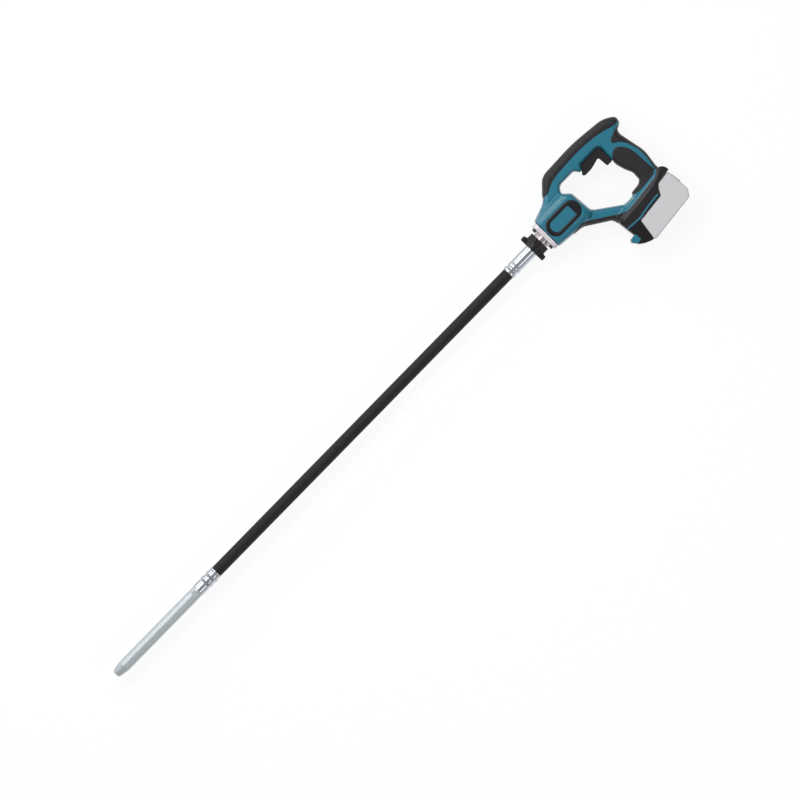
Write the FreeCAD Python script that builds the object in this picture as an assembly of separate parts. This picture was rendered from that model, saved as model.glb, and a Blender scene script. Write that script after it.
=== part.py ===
import FreeCAD, Part
import math
import os

# Cordless concrete vibrator lying on its side.  The shaft runs along +X from
# the vibrating head to the power head, the top grip is on the +Y side and +Z
# is up, out of the plane of the handle.  While it is built, x = 0 is the front
# face of the housing and the X axis is the spin axis of the drive line.

# ---------------------------------------------------------------- clearances
FIT = 0.05              # radial clearance of bearings, pins and pressed seats
AIR = 0.3               # gap between pieces that move past each other
SLIP = 0.4              # gap round the battery rails

# ------------------------------------------------------- shaft and head sizes
HEAD_RADIUS = 12.5
HEAD_BORE = 9.5
HEAD_TUBE_LENGTH = 190.0
NOSE_LENGTH = 27.0
NOSE_TIP_RADIUS = 6.5
COUPLING_LENGTH = 18.0
COUPLING_RADIUS = 12.2
COUPLING_FLATS = 21.0   # across the wrench flats
SPIGOT_LENGTH = 9.0
HOSE_VISIBLE = 835.0
HOSE_RADIUS = 12.2
HOSE_INSERT = 30.0      # hose length hidden inside each ferrule
LINER_RADIUS = 6.5
LINER_WALL = 1.0
CORE_RADIUS = 5.0
FERRULE_WALL = 1.1
LOWER_FERRULE_LENGTH = 52.0
UPPER_FERRULE_LENGTH = 65.0
CRIMP_RADIUS = 2.6
CRIMP_PROUD = 1.9
CRIMP_PITCH = 14.0

# ----------------------------------------------- coupling nut, neck and flange
NUT_FRONT = -44.0
NUT_REAR = -19.0
NUT_RADIUS = 24.0
NUT_LIP = 3.0
NUT_EAR_REACH = 30.5
NUT_EAR_THICKNESS = 11.0
NUT_EAR_WIDTH = 19.0
NUT_FACETS = 8
COLLAR_THICKNESS = 4.7
THREAD_RADIUS = 17.0
NECK_RADIUS = 18.0
NECK_BORE = 10.0
FLANGE_THICKNESS = 9.0
FLANGE_HALF = 32.0
FLANGE_CORNER = 12.0
FLANGE_SCREW_OFFSET = 23.0
FLANGE_SCREW_HEAD = 4.2
FLANGE_SCREW_LENGTH = 22.0
SCREW_SHANK = 2.0

# ------------------------------------------------------------ motor and drive
SPINDLE_RADIUS = 4.0
FRONT_BEARING_RADIUS = 13.0
FRONT_BEARING_WIDTH = 9.0
REAR_BEARING_RADIUS = 9.5
REAR_BEARING_WIDTH = 7.0
SOCKET_RADIUS = 8.0
SQUARE = 6.0            # side of the square drive on the flexible core
FAN_START = 5.0
FAN_WIDTH = 12.0
FAN_RADIUS = 26.0
FAN_BLADES = 11
MOTOR_START = 20.0
MOTOR_RADIUS = 23.0
MOTOR_WALL = 2.0
CAP_LENGTH = 18.0
MAGNET_THICKNESS = 3.6
ARMATURE_SLOTS = 10
AIR_GAP = 0.6
COMMUTATOR_RADIUS = 8.0
COMMUTATOR_LENGTH = 11.0
BRUSH_WIDTH = 4.6
BRUSH_LENGTH = 7.5
ECCENTRIC_RADIUS = 8.4
HEAD_BEARING_WIDTH = 8.0

# ------------------------------------------------------------------- housing
WALL = 2.5
RIB = 3.0
BARREL_LENGTH = 96.0
BARREL_TOP = 34.0
BARREL_BOTTOM = -36.0
BARREL_HALF = 34.5
BARREL_CORNER = 14.0
ARM_HALF = 19.0
ARM_EDGE = 5.0
GRIP_TOP = 90.0         # height of the top grip above the shaft axis
TAIL = 264.0            # rearmost point of the top grip
WINDOW_FRONT = 95.0
WINDOW_TOP = 49.5
WINDOW_BOTTOM = -69.0
COLUMN_FRONT = 199.0
COLUMN_REAR = 256.5
SKIN = 2.5              # thickness of the rubber on the arms
LOWER_ARM = -74.0       # lowest corner of the lower arm in front of the foot
RUBBER_DROP = 18.0      # how far the top rubber reaches down the sides
BOSS_RADIUS = 4.0
CASE_SCREW_HEAD = 3.2
CASE_SCREW_SEAT = 6.0
CASE_SCREW_BITE = 9.0
BADGE_DEPTH = 1.2
BADGE_RADIUS = 19.0
BADGE_MARGIN = 6.0      # from the end of the badge to its inner plate

# ------------------------------------------------------------ trigger, switch
PIVOT_X = 141.0
PIVOT_Y = 61.0
PIN_RADIUS = 2.0
TRIGGER_HALF = 7.0
PLUNGER_Y = 30.0
PLUNGER_RADIUS = 3.0
SWITCH_START = 208.0
SWITCH_LENGTH = 24.0
SWITCH_HEIGHT = 32.0
SWITCH_HALF = 10.0
WIRE_RADIUS = 1.1

# ------------------------------------------------------------ foot and battery
FOOT_X = 200.0          # point of the battery rail that the foot turns about
FOOT_Y = -103.0
RAIL_TILT = 6.0         # degrees, the rail rises toward the rear
FOOT_SKIN = 2.5
FOOT_TOP = 34.5
FOOT_REAR = 65.5
SKIRT_FRONT = -80.7
RIM_DEPTH = 5.2
RIM_BOTTOM = -6.0
FLOOR_THICKNESS = 2.4
RAIL_NECK = 27.0        # half widths of the battery tongue and its rails
RAIL_HALF = 31.0
RAIL_BOTTOM = 1.0
RAIL_TOP = 6.0
BATTERY_BOTTOM = -53.3
BATTERY_FRONT = -51.0
BATTERY_REAR = 60.3
TONGUE_REAR = 20.0
RAISED_FRONT = 29.0     # where the rear end of the battery rises into the foot
RAISED_TOP = 12.3
BATTERY_WALL = 2.0
BATTERY_SEAM = -12.0
TERMINAL_Z = 11.0       # blades and contacts stand this far from the mid plane
CELL_RADIUS = 9.0
CELL_LENGTH = 65.0
CELL_PITCH = 19.0
CELLS_IN_ROW = 5
BUTTON_TRAVEL = 4.0
LATCH_SPRING_X = 48.0
LATCH_SPRING_RADIUS = 3.0


# =================================================================== helpers
def vec(x, y, z=0.0):
    return FreeCAD.Vector(x, y, z)


X_AXIS = vec(1, 0, 0)
Y_AXIS = vec(0, 1, 0)
Z_AXIS = vec(0, 0, 1)


def box(x, y, z):
    """Box from three (low, high) pairs."""
    size = [pair[1] - pair[0] for pair in (x, y, z)]
    return Part.makeBox(size[0], size[1], size[2], vec(x[0], y[0], z[0]))


def rod(start, end, radius, bore=0.0):
    """Rod on the spin axis, or a tube where a bore is given."""
    solid = Part.makeCylinder(radius, end - start, vec(start, 0), X_AXIS)
    if bore > 0:
        solid = solid.cut(Part.makeCylinder(bore, end - start, vec(start, 0), X_AXIS))
    return solid


def pillar(x, y, low, high, radius):
    """Upright cylinder between two heights."""
    return Part.makeCylinder(radius, high - low, vec(x, y, low), Z_AXIS)


def turned(profile):
    """Solid turned about the spin axis from a closed (x, radius) outline."""
    points = [vec(x, radius) for x, radius in profile]
    face = Part.Face(Part.makePolygon(points + points[:1]))
    return face.revolve(vec(0, 0), X_AXIS, 360)


def fuse(solids):
    """One clean solid from several that overlap or touch."""
    result = solids[0].fuse(solids[1:]) if len(solids) > 1 else solids[0]
    return result.removeSplitter()


def group(solids):
    """Separate solids kept together as one node."""
    return Part.makeCompound(solids)


def outline(corners):
    """Closed wire of straight runs with a tangent arc at each (x, y, radius)."""
    trims = []
    for i, (x, y, radius) in enumerate(corners):
        here = vec(x, y)
        before = (vec(*corners[i - 1][:2]) - here).normalize()
        after = (vec(*corners[(i + 1) % len(corners)][:2]) - here).normalize()
        half = math.acos(max(-1.0, min(1.0, before.dot(after)))) / 2
        if radius <= 0 or half > math.radians(89.9):
            trims.append((here, None, here))
            continue
        reach = radius / math.tan(half)
        middle = (before + after).normalize()
        arc_middle = here + middle * (radius / math.sin(half) - radius)
        trims.append((here + before * reach, arc_middle, here + after * reach))
    edges = []
    for i, (start, middle, end) in enumerate(trims):
        if middle is not None:
            edges.append(Part.Arc(start, middle, end).toShape())
        following = trims[(i + 1) % len(trims)][0]
        if (following - end).Length > 1e-4:
            edges.append(Part.LineSegment(end, following).toShape())
    return Part.Wire(edges)


def plate(corners, low, high):
    """Flat-sided solid with a rounded outline between two heights."""
    face = Part.Face(outline(corners))
    face.translate(vec(0, 0, low))
    return face.extrude(vec(0, 0, high - low))


def on_both_sides(solid):
    """The solid and its mirror image in the plane of the handle."""
    return [solid, solid.mirror(vec(0, 0), Z_AXIS)]


def round_edges(solid, radius, chosen):
    """Fillet the edges that the chooser picks."""
    return solid.makeFillet(radius, [edge for edge in solid.Edges if chosen(edge)])


def tilted(solid):
    """Move a solid from the frame of the battery rail to its place."""
    placed = solid.copy()
    placed.rotate(vec(0, 0), Z_AXIS, RAIL_TILT)
    placed.translate(vec(FOOT_X, FOOT_Y))
    return placed


def hexagon(x, y, z, across):
    """Hexagonal socket recess along X, opening at x."""
    radius = across / math.sqrt(3)
    corner = [vec(x, y + radius * math.cos(math.radians(60 * k)),
                  z + radius * math.sin(math.radians(60 * k))) for k in range(7)]
    return Part.Face(Part.makePolygon(corner))


# ============================================================ derived stations
COLLAR_REAR = NUT_FRONT + NUT_LIP + AIR + COLLAR_THICKNESS    # seat of the hose end
HOSE_REAR = NUT_FRONT - UPPER_FERRULE_LENGTH                  # hose enters the ferrule
HOSE_FRONT = HOSE_REAR - HOSE_VISIBLE
COUPLING_REAR = HOSE_FRONT - LOWER_FERRULE_LENGTH
HEAD_REAR = COUPLING_REAR - COUPLING_LENGTH
HEAD_FRONT = HEAD_REAR - HEAD_TUBE_LENGTH
ECCENTRIC_LENGTH = HEAD_TUBE_LENGTH - 62.0                    # between the head bearings
TIP = HEAD_FRONT - NOSE_LENGTH
BAR_BORE = CORE_RADIUS + 1.6                                  # clears the core sleeves
CAN_LENGTH = BARREL_LENGTH - 46.0
ARMATURE_LENGTH = CAN_LENGTH - 20.0
CAN_REAR = MOTOR_START + CAN_LENGTH
CAP_REAR = CAN_REAR + CAP_LENGTH
FRONT_BEARING_START = -FLANGE_THICKNESS - 4.0
SOCKET_FRONT = COLLAR_REAR - COLLAR_THICKNESS
SOCKET_REAR = FRONT_BEARING_START - 3.0
LOWER_SLEEVE_FRONT = HEAD_REAR + 13.0
UPPER_SLEEVE_REAR = SOCKET_FRONT - 1.0
CAVITY_HALF = ARM_HALF - SKIN - WALL
BATTERY_HALF = CELL_LENGTH / 2 + 5.0                          # walls and room for the leads
FOOT_HALF = BATTERY_HALF + FOOT_SKIN
TAIL_TOP = GRIP_TOP - 8.5
CHANNEL_TOP = RAIL_TOP + SLIP + 0.2
FLOOR_TOP = CHANNEL_TOP + FLOOR_THICKNESS
BADGE_FRONT = 4.0
BADGE_REAR = BARREL_LENGTH - 8.0
BADGE_LOW = BARREL_BOTTOM + 14.0
BADGE_HIGH = BARREL_TOP - 15.0


# ============================================================ vibrating head
def nose_cap():
    cone_end = HEAD_FRONT - 4.0
    profile = [(TIP, 0), (TIP, NOSE_TIP_RADIUS), (TIP + 2.5, NOSE_TIP_RADIUS + 2.2),
               (cone_end - 9, HEAD_RADIUS - 1.6), (cone_end, HEAD_RADIUS),
               (HEAD_FRONT, HEAD_RADIUS), (HEAD_FRONT, HEAD_BORE - FIT),
               (HEAD_FRONT + SPIGOT_LENGTH - 4, HEAD_BORE - FIT),
               (HEAD_FRONT + SPIGOT_LENGTH - 4, 0)]
    return turned(profile)


def head_tube():
    return rod(HEAD_FRONT, HEAD_REAR, HEAD_RADIUS, HEAD_BORE)


def head_coupling():
    """Rear end of the head: spigot, collar with two wrench flats, hose nipple."""
    spigot = rod(HEAD_REAR - SPIGOT_LENGTH, HEAD_REAR, HEAD_BORE - FIT)
    collar = rod(HEAD_REAR, COUPLING_REAR, COUPLING_RADIUS)
    nipple = rod(COUPLING_REAR, COUPLING_REAR + 16, HEAD_BORE - 0.5)
    side = (HEAD_REAR + 4, COUPLING_REAR - 4)
    flats = [box(side, (-HEAD_RADIUS, HEAD_RADIUS), (COUPLING_FLATS / 2, HEAD_RADIUS + 1)),
             box(side, (-HEAD_RADIUS, HEAD_RADIUS), (-HEAD_RADIUS - 1, -COUPLING_FLATS / 2))]
    bore = rod(HEAD_REAR - SPIGOT_LENGTH, COUPLING_REAR + 16, BAR_BORE)
    return fuse([spigot, collar, nipple]).cut(flats + [bore])


def ball_bearing(start, width, outer, inner):
    """Closed ball bearing with a shallow groove in each shield."""
    ring = rod(start, start + width, outer, inner)
    middle = (outer + inner) / 2
    groove = (outer - inner) * 0.22
    shields = [rod(start, start + 0.4, middle + groove, middle - groove),
               rod(start + width - 0.4, start + width, middle + groove, middle - groove)]
    return ring.cut(shields)


def head_bearings():
    """One bearing at each end of the eccentric weight."""
    front = HEAD_FRONT + SPIGOT_LENGTH - 3
    rear = front + HEAD_BEARING_WIDTH + ECCENTRIC_LENGTH + 7
    return group([ball_bearing(start, HEAD_BEARING_WIDTH, HEAD_BORE - FIT,
                               SPINDLE_RADIUS + FIT) for start in (front, rear)])


def oil_seal():
    start = HEAD_FRONT + SPIGOT_LENGTH + ECCENTRIC_LENGTH + HEAD_BEARING_WIDTH + 15
    return rod(start, start + 5, HEAD_BORE - FIT, SPINDLE_RADIUS + AIR)


def eccentric_rotor():
    """Spindle with a half-round weight and the square socket of the core."""
    front = HEAD_FRONT + SPIGOT_LENGTH - 3
    weight_start = front + HEAD_BEARING_WIDTH + 4
    socket_start = LOWER_SLEEVE_FRONT - 27
    spindle = rod(front, socket_start, SPINDLE_RADIUS)
    weight = rod(weight_start, weight_start + ECCENTRIC_LENGTH, ECCENTRIC_RADIUS)
    half = box((weight_start - 1, weight_start + ECCENTRIC_LENGTH + 1),
               (-ECCENTRIC_RADIUS, ECCENTRIC_RADIUS), (0, 2 * ECCENTRIC_RADIUS))
    socket = rod(socket_start, LOWER_SLEEVE_FRONT - 1.5, CORE_RADIUS + 1)
    reach = SQUARE / 2 + 0.2
    hole = box((socket_start + 8, LOWER_SLEEVE_FRONT), (-reach, reach), (-reach, reach))
    return fuse([spindle, weight.cut(half), socket.cut(hole)])


# ====================================================== hose and flexible core
def hose():
    """Straight rubber hose; its ends sit inside the two ferrules."""
    return rod(HOSE_FRONT - HOSE_INSERT, HOSE_REAR + HOSE_INSERT, HOSE_RADIUS,
               LINER_RADIUS + FIT)


def hose_liner():
    return rod(HOSE_FRONT - HOSE_INSERT, HOSE_REAR + HOSE_INSERT, LINER_RADIUS,
               LINER_RADIUS - LINER_WALL)


def flexible_core():
    return rod(LOWER_SLEEVE_FRONT, UPPER_SLEEVE_REAR, CORE_RADIUS)


def core_sleeves():
    """Crimped end sleeves of the core, each with its square tang."""
    reach = SQUARE / 2
    lower = rod(LOWER_SLEEVE_FRONT, LOWER_SLEEVE_FRONT + 12, CORE_RADIUS + 1,
                CORE_RADIUS + FIT)
    lower_tang = box((LOWER_SLEEVE_FRONT - 14, LOWER_SLEEVE_FRONT), (-reach, reach),
                     (-reach, reach))
    upper = rod(UPPER_SLEEVE_REAR - 18, UPPER_SLEEVE_REAR, CORE_RADIUS + 1,
                CORE_RADIUS + FIT)
    upper_tang = box((UPPER_SLEEVE_REAR, UPPER_SLEEVE_REAR + 14), (-reach, reach),
                     (-reach, reach))
    web = [rod(LOWER_SLEEVE_FRONT - 1, LOWER_SLEEVE_FRONT, CORE_RADIUS + 1),
           rod(UPPER_SLEEVE_REAR, UPPER_SLEEVE_REAR + 1, CORE_RADIUS + 1)]
    return group([fuse([lower, web[0], lower_tang]), fuse([upper, web[1], upper_tang])])


def crimps(stations):
    """Rounded rings where a ferrule is crimped on the hose."""
    ring_radius = HOSE_RADIUS + CRIMP_PROUD - CRIMP_RADIUS
    return [Part.makeTorus(ring_radius, CRIMP_RADIUS, vec(x, 0), X_AXIS) for x in stations]


def lower_ferrule():
    """Crimped steel end of the hose, pushed over the nipple of the head."""
    outer = HOSE_RADIUS + FERRULE_WALL
    barrel = rod(COUPLING_REAR, HOSE_FRONT, outer)
    tail = rod(COUPLING_REAR, HOSE_FRONT - HOSE_INSERT, outer + 0.4)
    rings = crimps([HOSE_FRONT - 27, HOSE_FRONT - 27 + CRIMP_PITCH])
    bore = [rod(COUPLING_REAR, HOSE_FRONT - HOSE_INSERT, HEAD_BORE - 0.5 + FIT),
            rod(HOSE_FRONT - HOSE_INSERT, HOSE_FRONT, HOSE_RADIUS + FIT)]
    return fuse([barrel, tail] + rings).cut(bore)


def upper_ferrule():
    """Upper hose end: crimped barrel, plain tube and the collar in the nut."""
    outer = HOSE_RADIUS + FERRULE_WALL
    seat = HOSE_REAR + HOSE_INSERT
    barrel = rod(HOSE_REAR, seat, outer)
    tube = rod(seat - 6, SOCKET_FRONT, outer + 0.7)
    collar = rod(SOCKET_FRONT, COLLAR_REAR, THREAD_RADIUS)
    rings = crimps([HOSE_REAR + 4, HOSE_REAR + 4 + CRIMP_PITCH])
    bore = [rod(HOSE_REAR - 5, seat, HOSE_RADIUS + FIT),
            rod(seat, COLLAR_REAR, SOCKET_RADIUS + 1)]
    return fuse([barrel, tube, collar] + rings).cut(bore)


# ================================================ nut, neck, flange and screws
def wing_nut():
    """Faceted coupling nut with two square ears on its front flange."""
    body = rod(NUT_FRONT + NUT_EAR_THICKNESS - 1, NUT_REAR, NUT_RADIUS)
    for k in range(NUT_FACETS):
        facet = box((NUT_FRONT + NUT_EAR_THICKNESS + 2, NUT_REAR + 1), (-9, 9),
                    (NUT_RADIUS - 1.4, NUT_RADIUS + 5))
        facet.rotate(vec(0, 0), X_AXIS, 360 * k / NUT_FACETS)
        body = body.cut(facet)
    front = rod(NUT_FRONT, NUT_FRONT + NUT_EAR_THICKNESS, NUT_RADIUS - 2)
    ears = box((NUT_FRONT, NUT_FRONT + NUT_EAR_THICKNESS),
               (-NUT_EAR_REACH, NUT_EAR_REACH), (-NUT_EAR_WIDTH / 2, NUT_EAR_WIDTH / 2))
    ears = round_edges(ears, 3.0, lambda edge: abs(edge.CenterOfMass.y) > NUT_EAR_REACH - 0.1)
    bore = [rod(NUT_FRONT + NUT_LIP, NUT_REAR, THREAD_RADIUS + AIR),
            rod(NUT_FRONT, NUT_FRONT + NUT_LIP, HOSE_RADIUS + FERRULE_WALL + 0.7 + AIR)]
    return fuse([body, front, ears]).cut(bore)


def neck():
    """Spindle housing: threaded stub in the nut, plain neck, bearing pocket."""
    stub = rod(COLLAR_REAR, NUT_REAR, THREAD_RADIUS)
    body = rod(NUT_REAR + AIR, WALL, NECK_RADIUS)
    link = rod(NUT_REAR - 1, NUT_REAR + 2, THREAD_RADIUS)
    bore = [rod(COLLAR_REAR, WALL, NECK_BORE),
            rod(FRONT_BEARING_START, WALL, FRONT_BEARING_RADIUS + FIT)]
    return fuse([stub, link, body]).cut(bore)


def front_bearing():
    return ball_bearing(FRONT_BEARING_START, FRONT_BEARING_WIDTH, FRONT_BEARING_RADIUS,
                        SPINDLE_RADIUS + FIT)


def bearing_clip():
    """Ring that keeps the front bearing in its pocket."""
    start = FRONT_BEARING_START + FRONT_BEARING_WIDTH
    ring = rod(start, start + 1.2, FRONT_BEARING_RADIUS, FRONT_BEARING_RADIUS - 3)
    return ring.cut(box((start - 1, start + 3), (0, 20), (-1.5, 1.5)))


def flange_corners(half):
    return [(-half, -half, FLANGE_CORNER), (half, -half, FLANGE_CORNER),
            (half, half, FLANGE_CORNER), (-half, half, FLANGE_CORNER)]


def flange_screw_places():
    reach = FLANGE_SCREW_OFFSET
    return [(y, z) for y in (-reach, reach) for z in (-reach, reach)]


def front_flange():
    """Cast plate that clamps the neck to the housing."""
    body = plate(flange_corners(FLANGE_HALF), 0, FLANGE_THICKNESS)
    body = round_edges(body, 2.0, lambda edge: edge.CenterOfMass.z > FLANGE_THICKNESS - 0.1)
    body.rotate(vec(0, 0), Y_AXIS, -90)
    holes = [rod(-FLANGE_THICKNESS, 0, NECK_RADIUS + FIT)]
    for y, z in flange_screw_places():
        holes.append(Part.makeCylinder(SCREW_SHANK + AIR, FLANGE_THICKNESS,
                                       vec(-FLANGE_THICKNESS, y, z), X_AXIS))
    return body.cut(holes)


def flange_screws():
    screws = []
    for y, z in flange_screw_places():
        head = Part.makeCylinder(FLANGE_SCREW_HEAD, 5, vec(-FLANGE_THICKNESS - 5, y, z), X_AXIS)
        shank = Part.makeCylinder(SCREW_SHANK, FLANGE_SCREW_LENGTH,
                                  vec(-FLANGE_THICKNESS - 1, y, z), X_AXIS)
        socket = hexagon(-FLANGE_THICKNESS - 5, y, z, 4.0).extrude(vec(2.6, 0, 0))
        screws.append(fuse([head, shank]).cut(socket))
    return group(screws)


# ======================================================================= motor
def armature_shaft():
    return rod(SOCKET_REAR - 8, CAP_REAR - 0.5, SPINDLE_RADIUS)


def drive_socket():
    """Socket on the armature shaft that takes the square end of the core."""
    reach = SQUARE / 2 + 0.2
    body = rod(SOCKET_FRONT, SOCKET_REAR, SOCKET_RADIUS)
    square = box((SOCKET_FRONT, SOCKET_REAR - 8), (-reach, reach), (-reach, reach))
    shaft_seat = rod(SOCKET_REAR - 8, SOCKET_REAR, SPINDLE_RADIUS + FIT)
    return body.cut([square, shaft_seat])


def cooling_fan():
    """Backplate, hub and radial blades."""
    hub = rod(FAN_START, FAN_START + FAN_WIDTH, 8.0)
    disc = rod(FAN_START + FAN_WIDTH - 2, FAN_START + FAN_WIDTH, FAN_RADIUS)
    blades = []
    for k in range(FAN_BLADES):
        blade = box((FAN_START + 1, FAN_START + FAN_WIDTH - 1), (7.0, FAN_RADIUS - 0.5),
                    (-0.8, 0.8))
        blade.rotate(vec(0, 0), X_AXIS, 360 * k / FAN_BLADES)
        blades.append(blade)
    bore = rod(FAN_START, FAN_START + FAN_WIDTH, SPINDLE_RADIUS + FIT)
    return fuse([hub, disc] + blades).cut(bore)


def motor_can():
    """Drawn steel can, closed at the front round a clearance hole."""
    tube = rod(MOTOR_START, CAN_REAR, MOTOR_RADIUS, MOTOR_RADIUS - MOTOR_WALL)
    front = rod(MOTOR_START, MOTOR_START + 1.6, MOTOR_RADIUS, SPINDLE_RADIUS + 3)
    return fuse([tube, front])


def magnet_start():
    return MOTOR_START + 6


def magnets():
    """Two curved magnets glued inside the can."""
    outer = MOTOR_RADIUS - MOTOR_WALL - FIT
    ring = rod(magnet_start(), CAN_REAR - 6, outer, outer - MAGNET_THICKNESS)
    gap = box((magnet_start() - 1, CAN_REAR), (-6, 6), (-outer - 1, outer + 1))
    return group(ring.cut(gap).Solids)


def armature_start():
    return magnet_start() + 4


def armature_radius():
    return MOTOR_RADIUS - MOTOR_WALL - FIT - MAGNET_THICKNESS - AIR_GAP


def armature_core():
    """Laminated core with a slot for each coil."""
    radius = armature_radius()
    core = rod(armature_start(), armature_start() + ARMATURE_LENGTH, radius,
               SPINDLE_RADIUS + FIT)
    slots = []
    for k in range(ARMATURE_SLOTS):
        slot = box((armature_start() - 1, armature_start() + ARMATURE_LENGTH + 1),
                   (radius - 5.5, radius + 1), (-1.1, 1.1))
        slot.rotate(vec(0, 0), X_AXIS, 360 * k / ARMATURE_SLOTS)
        slots.append(slot)
    return core.cut(slots)


def windings():
    """Copper end turns at each end of the core."""
    radius = armature_radius()
    inner = SPINDLE_RADIUS + 1.5
    front = rod(armature_start() - 5, armature_start(), radius - 2, inner)
    rear_start = armature_start() + ARMATURE_LENGTH
    rear = rod(rear_start, rear_start + 5, radius - 2, inner)
    rounded = [round_edges(ring, 1.8, lambda edge: edge.Length > 2 * math.pi * (radius - 3)
                           and abs(edge.CenterOfMass.x - armature_start()) > 1
                           and abs(edge.CenterOfMass.x - rear_start) > 1)
               for ring in (front, rear)]
    return group(rounded)


def commutator():
    start = CAN_REAR - 1
    body = rod(start, start + COMMUTATOR_LENGTH, COMMUTATOR_RADIUS, SPINDLE_RADIUS + FIT)
    bars = []
    for k in range(ARMATURE_SLOTS):
        slit = box((start - 1, start + COMMUTATOR_LENGTH - 2),
                   (COMMUTATOR_RADIUS - 1, COMMUTATOR_RADIUS + 1), (-0.3, 0.3))
        slit.rotate(vec(0, 0), X_AXIS, 360 * k / ARMATURE_SLOTS)
        bars.append(slit)
    return body.cut(bars)


def motor_end_cap():
    """Plastic cap behind the can; it holds the rear bearing and the brushes."""
    skirt = rod(CAN_REAR, CAP_REAR, MOTOR_RADIUS, MOTOR_RADIUS - MOTOR_WALL)
    wall = rod(CAP_REAR - 2, CAP_REAR, MOTOR_RADIUS, REAR_BEARING_RADIUS + FIT)
    seat = rod(CAP_REAR - REAR_BEARING_WIDTH, CAP_REAR, REAR_BEARING_RADIUS + 2.5,
               REAR_BEARING_RADIUS + FIT)
    return fuse([skirt, wall, seat])


def rear_bearing():
    return ball_bearing(CAP_REAR - REAR_BEARING_WIDTH, REAR_BEARING_WIDTH,
                        REAR_BEARING_RADIUS, SPINDLE_RADIUS + FIT)


def brush_station():
    return CAN_REAR + 1.5


def brush_holders():
    """Brass channels that guide the brushes, fixed to the end cap."""
    half = BRUSH_WIDTH / 2
    top = MOTOR_RADIUS - MOTOR_WALL - 0.35
    station = brush_station()
    tube = box((station, station + BRUSH_WIDTH + 2), (-half - 1, half + 1),
               (COMMUTATOR_RADIUS + 1.2, top))
    hole = box((station + 1 - FIT, station + 1 + BRUSH_WIDTH + FIT),
               (-half - FIT, half + FIT), (COMMUTATOR_RADIUS + 1, top - 0.8))
    return group(on_both_sides(tube.cut(hole)))


def brushes():
    half = BRUSH_WIDTH / 2
    station = brush_station()
    low = COMMUTATOR_RADIUS + AIR
    brush = box((station + 1, station + 1 + BRUSH_WIDTH), (-half, half),
                (low, low + BRUSH_LENGTH))
    return group(on_both_sides(brush))


def coil(x, y, z, radius, wire, height, turns):
    """Coil spring standing on its lower end; its rings are joined by a rib."""
    pitch = (height - 2 * wire) / (turns - 1)
    rings = [Part.makeTorus(radius, wire, vec(x, y, z + wire + pitch * k), Z_AXIS)
             for k in range(turns)]
    rib = pillar(x + radius, y, z + wire, z + height - wire, wire * 0.8)
    return fuse(rings + [rib])


def brush_springs():
    low = COMMUTATOR_RADIUS + AIR + BRUSH_LENGTH + 0.1
    top = MOTOR_RADIUS - MOTOR_WALL - 0.35 - 0.8 - 0.1
    spring = coil(brush_station() + 1 + BRUSH_WIDTH / 2, 0, low, 1.5, 0.3, top - low, 4)
    return group(on_both_sides(spring))


# ========================================================== outlines of the frame
def frame_corners():
    """Outside of the loop handle: front shoulder, top grip, tail, spine, lower arm."""
    return [(1, BARREL_TOP + 2, 0), (38, WINDOW_TOP - 1, 30),
            (WINDOW_FRONT - 19, GRIP_TOP - 3, 32), (165, GRIP_TOP, 400),
            (TAIL - 21, TAIL_TOP, 60), (TAIL + 0.5, TAIL_TOP - 14.5, 12),
            (TAIL - 0.5, WINDOW_TOP + 3.5, 5.5), (TAIL - 16, WINDOW_TOP - 3, 8),
            (COLUMN_REAR - 11, 36, 14), (COLUMN_REAR, -22, 60), (COLUMN_REAR - 5.5, -58, 20),
            (COLUMN_REAR - 5.5, -84, 6), (119, -88, 6), (113, LOWER_ARM, 12),
            (62, BARREL_BOTTOM - 4.5, 30), (3, BARREL_BOTTOM + 1.5, 0)]


def window_corners():
    """The hand opening, with the small guard lip in front of the trigger."""
    return [(WINDOW_FRONT - 16.5, 36.5, 6), (WINDOW_FRONT - 7, WINDOW_TOP, 14),
            (127.5, WINDOW_TOP, 6), (135, WINDOW_TOP - 10.5, 3.2),
            (141, WINDOW_TOP - 10.5, 3.2), (147.5, WINDOW_TOP, 6),
            (COLUMN_FRONT, WINDOW_TOP, 8), (COLUMN_FRONT - 1, -2, 30),
            (COLUMN_FRONT + 4, -20, 30), (COLUMN_FRONT + 11, -36, 12),
            (COLUMN_FRONT + 10, -56, 8), (COLUMN_FRONT + 1, -61.5, 10),
            (180, -63.5, 6), (173, WINDOW_BOTTOM, 6), (152, WINDOW_BOTTOM, 10),
            (WINDOW_FRONT + 3, -30, 16), (WINDOW_FRONT, 8, 60), (WINDOW_FRONT - 1, 22, 8)]


def top_grip_region():
    """Rubber on the top arm, down to a long curved border."""
    border = GRIP_TOP - RUBBER_DROP
    return [(45, WINDOW_TOP + 6, 0), (66, 110, 0), (285, 110, 0), (285, WINDOW_TOP + 9, 0),
            (TAIL - 14, WINDOW_TOP + 7, 12), (TAIL - 42, border - 6, 60), (160, border, 250),
            (WINDOW_FRONT - 11, border - 4, 30), (60, WINDOW_TOP + 5.5, 14)]


def spine_region():
    """Rubber down the back of the column and under the tail."""
    return [(222, 36, 3), (228, 46, 4), (285, WINDOW_TOP - 1, 0), (285, -66, 0),
            (COLUMN_REAR - 7.5, -66, 0), (COLUMN_REAR - 4, -35, 30),
            (COLUMN_REAR - 8, 0, 60), (COLUMN_REAR - 16, 20, 25), (231, 32, 8)]


def finger_region():
    """Rubber round the front and sides of the pistol grip."""
    return [(170, -95, 0), (170, 4, 0), (COLUMN_FRONT + 3, 5, 5), (COLUMN_FRONT + 10, 25, 9),
            (226, 25, 9), (240, 4, 14), (COLUMN_REAR - 13, -25, 60), (241, -95, 0)]


def lower_arm_region():
    """Rubber on the underside of the lower arm."""
    return [(40, BARREL_BOTTOM - 1, 0), (40, -130, 0), (150, -130, 0), (150, -90, 0),
            (125, -69, 20), (95, -48.5, 30), (72, BARREL_BOTTOM - 0.5, 4)]


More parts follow.
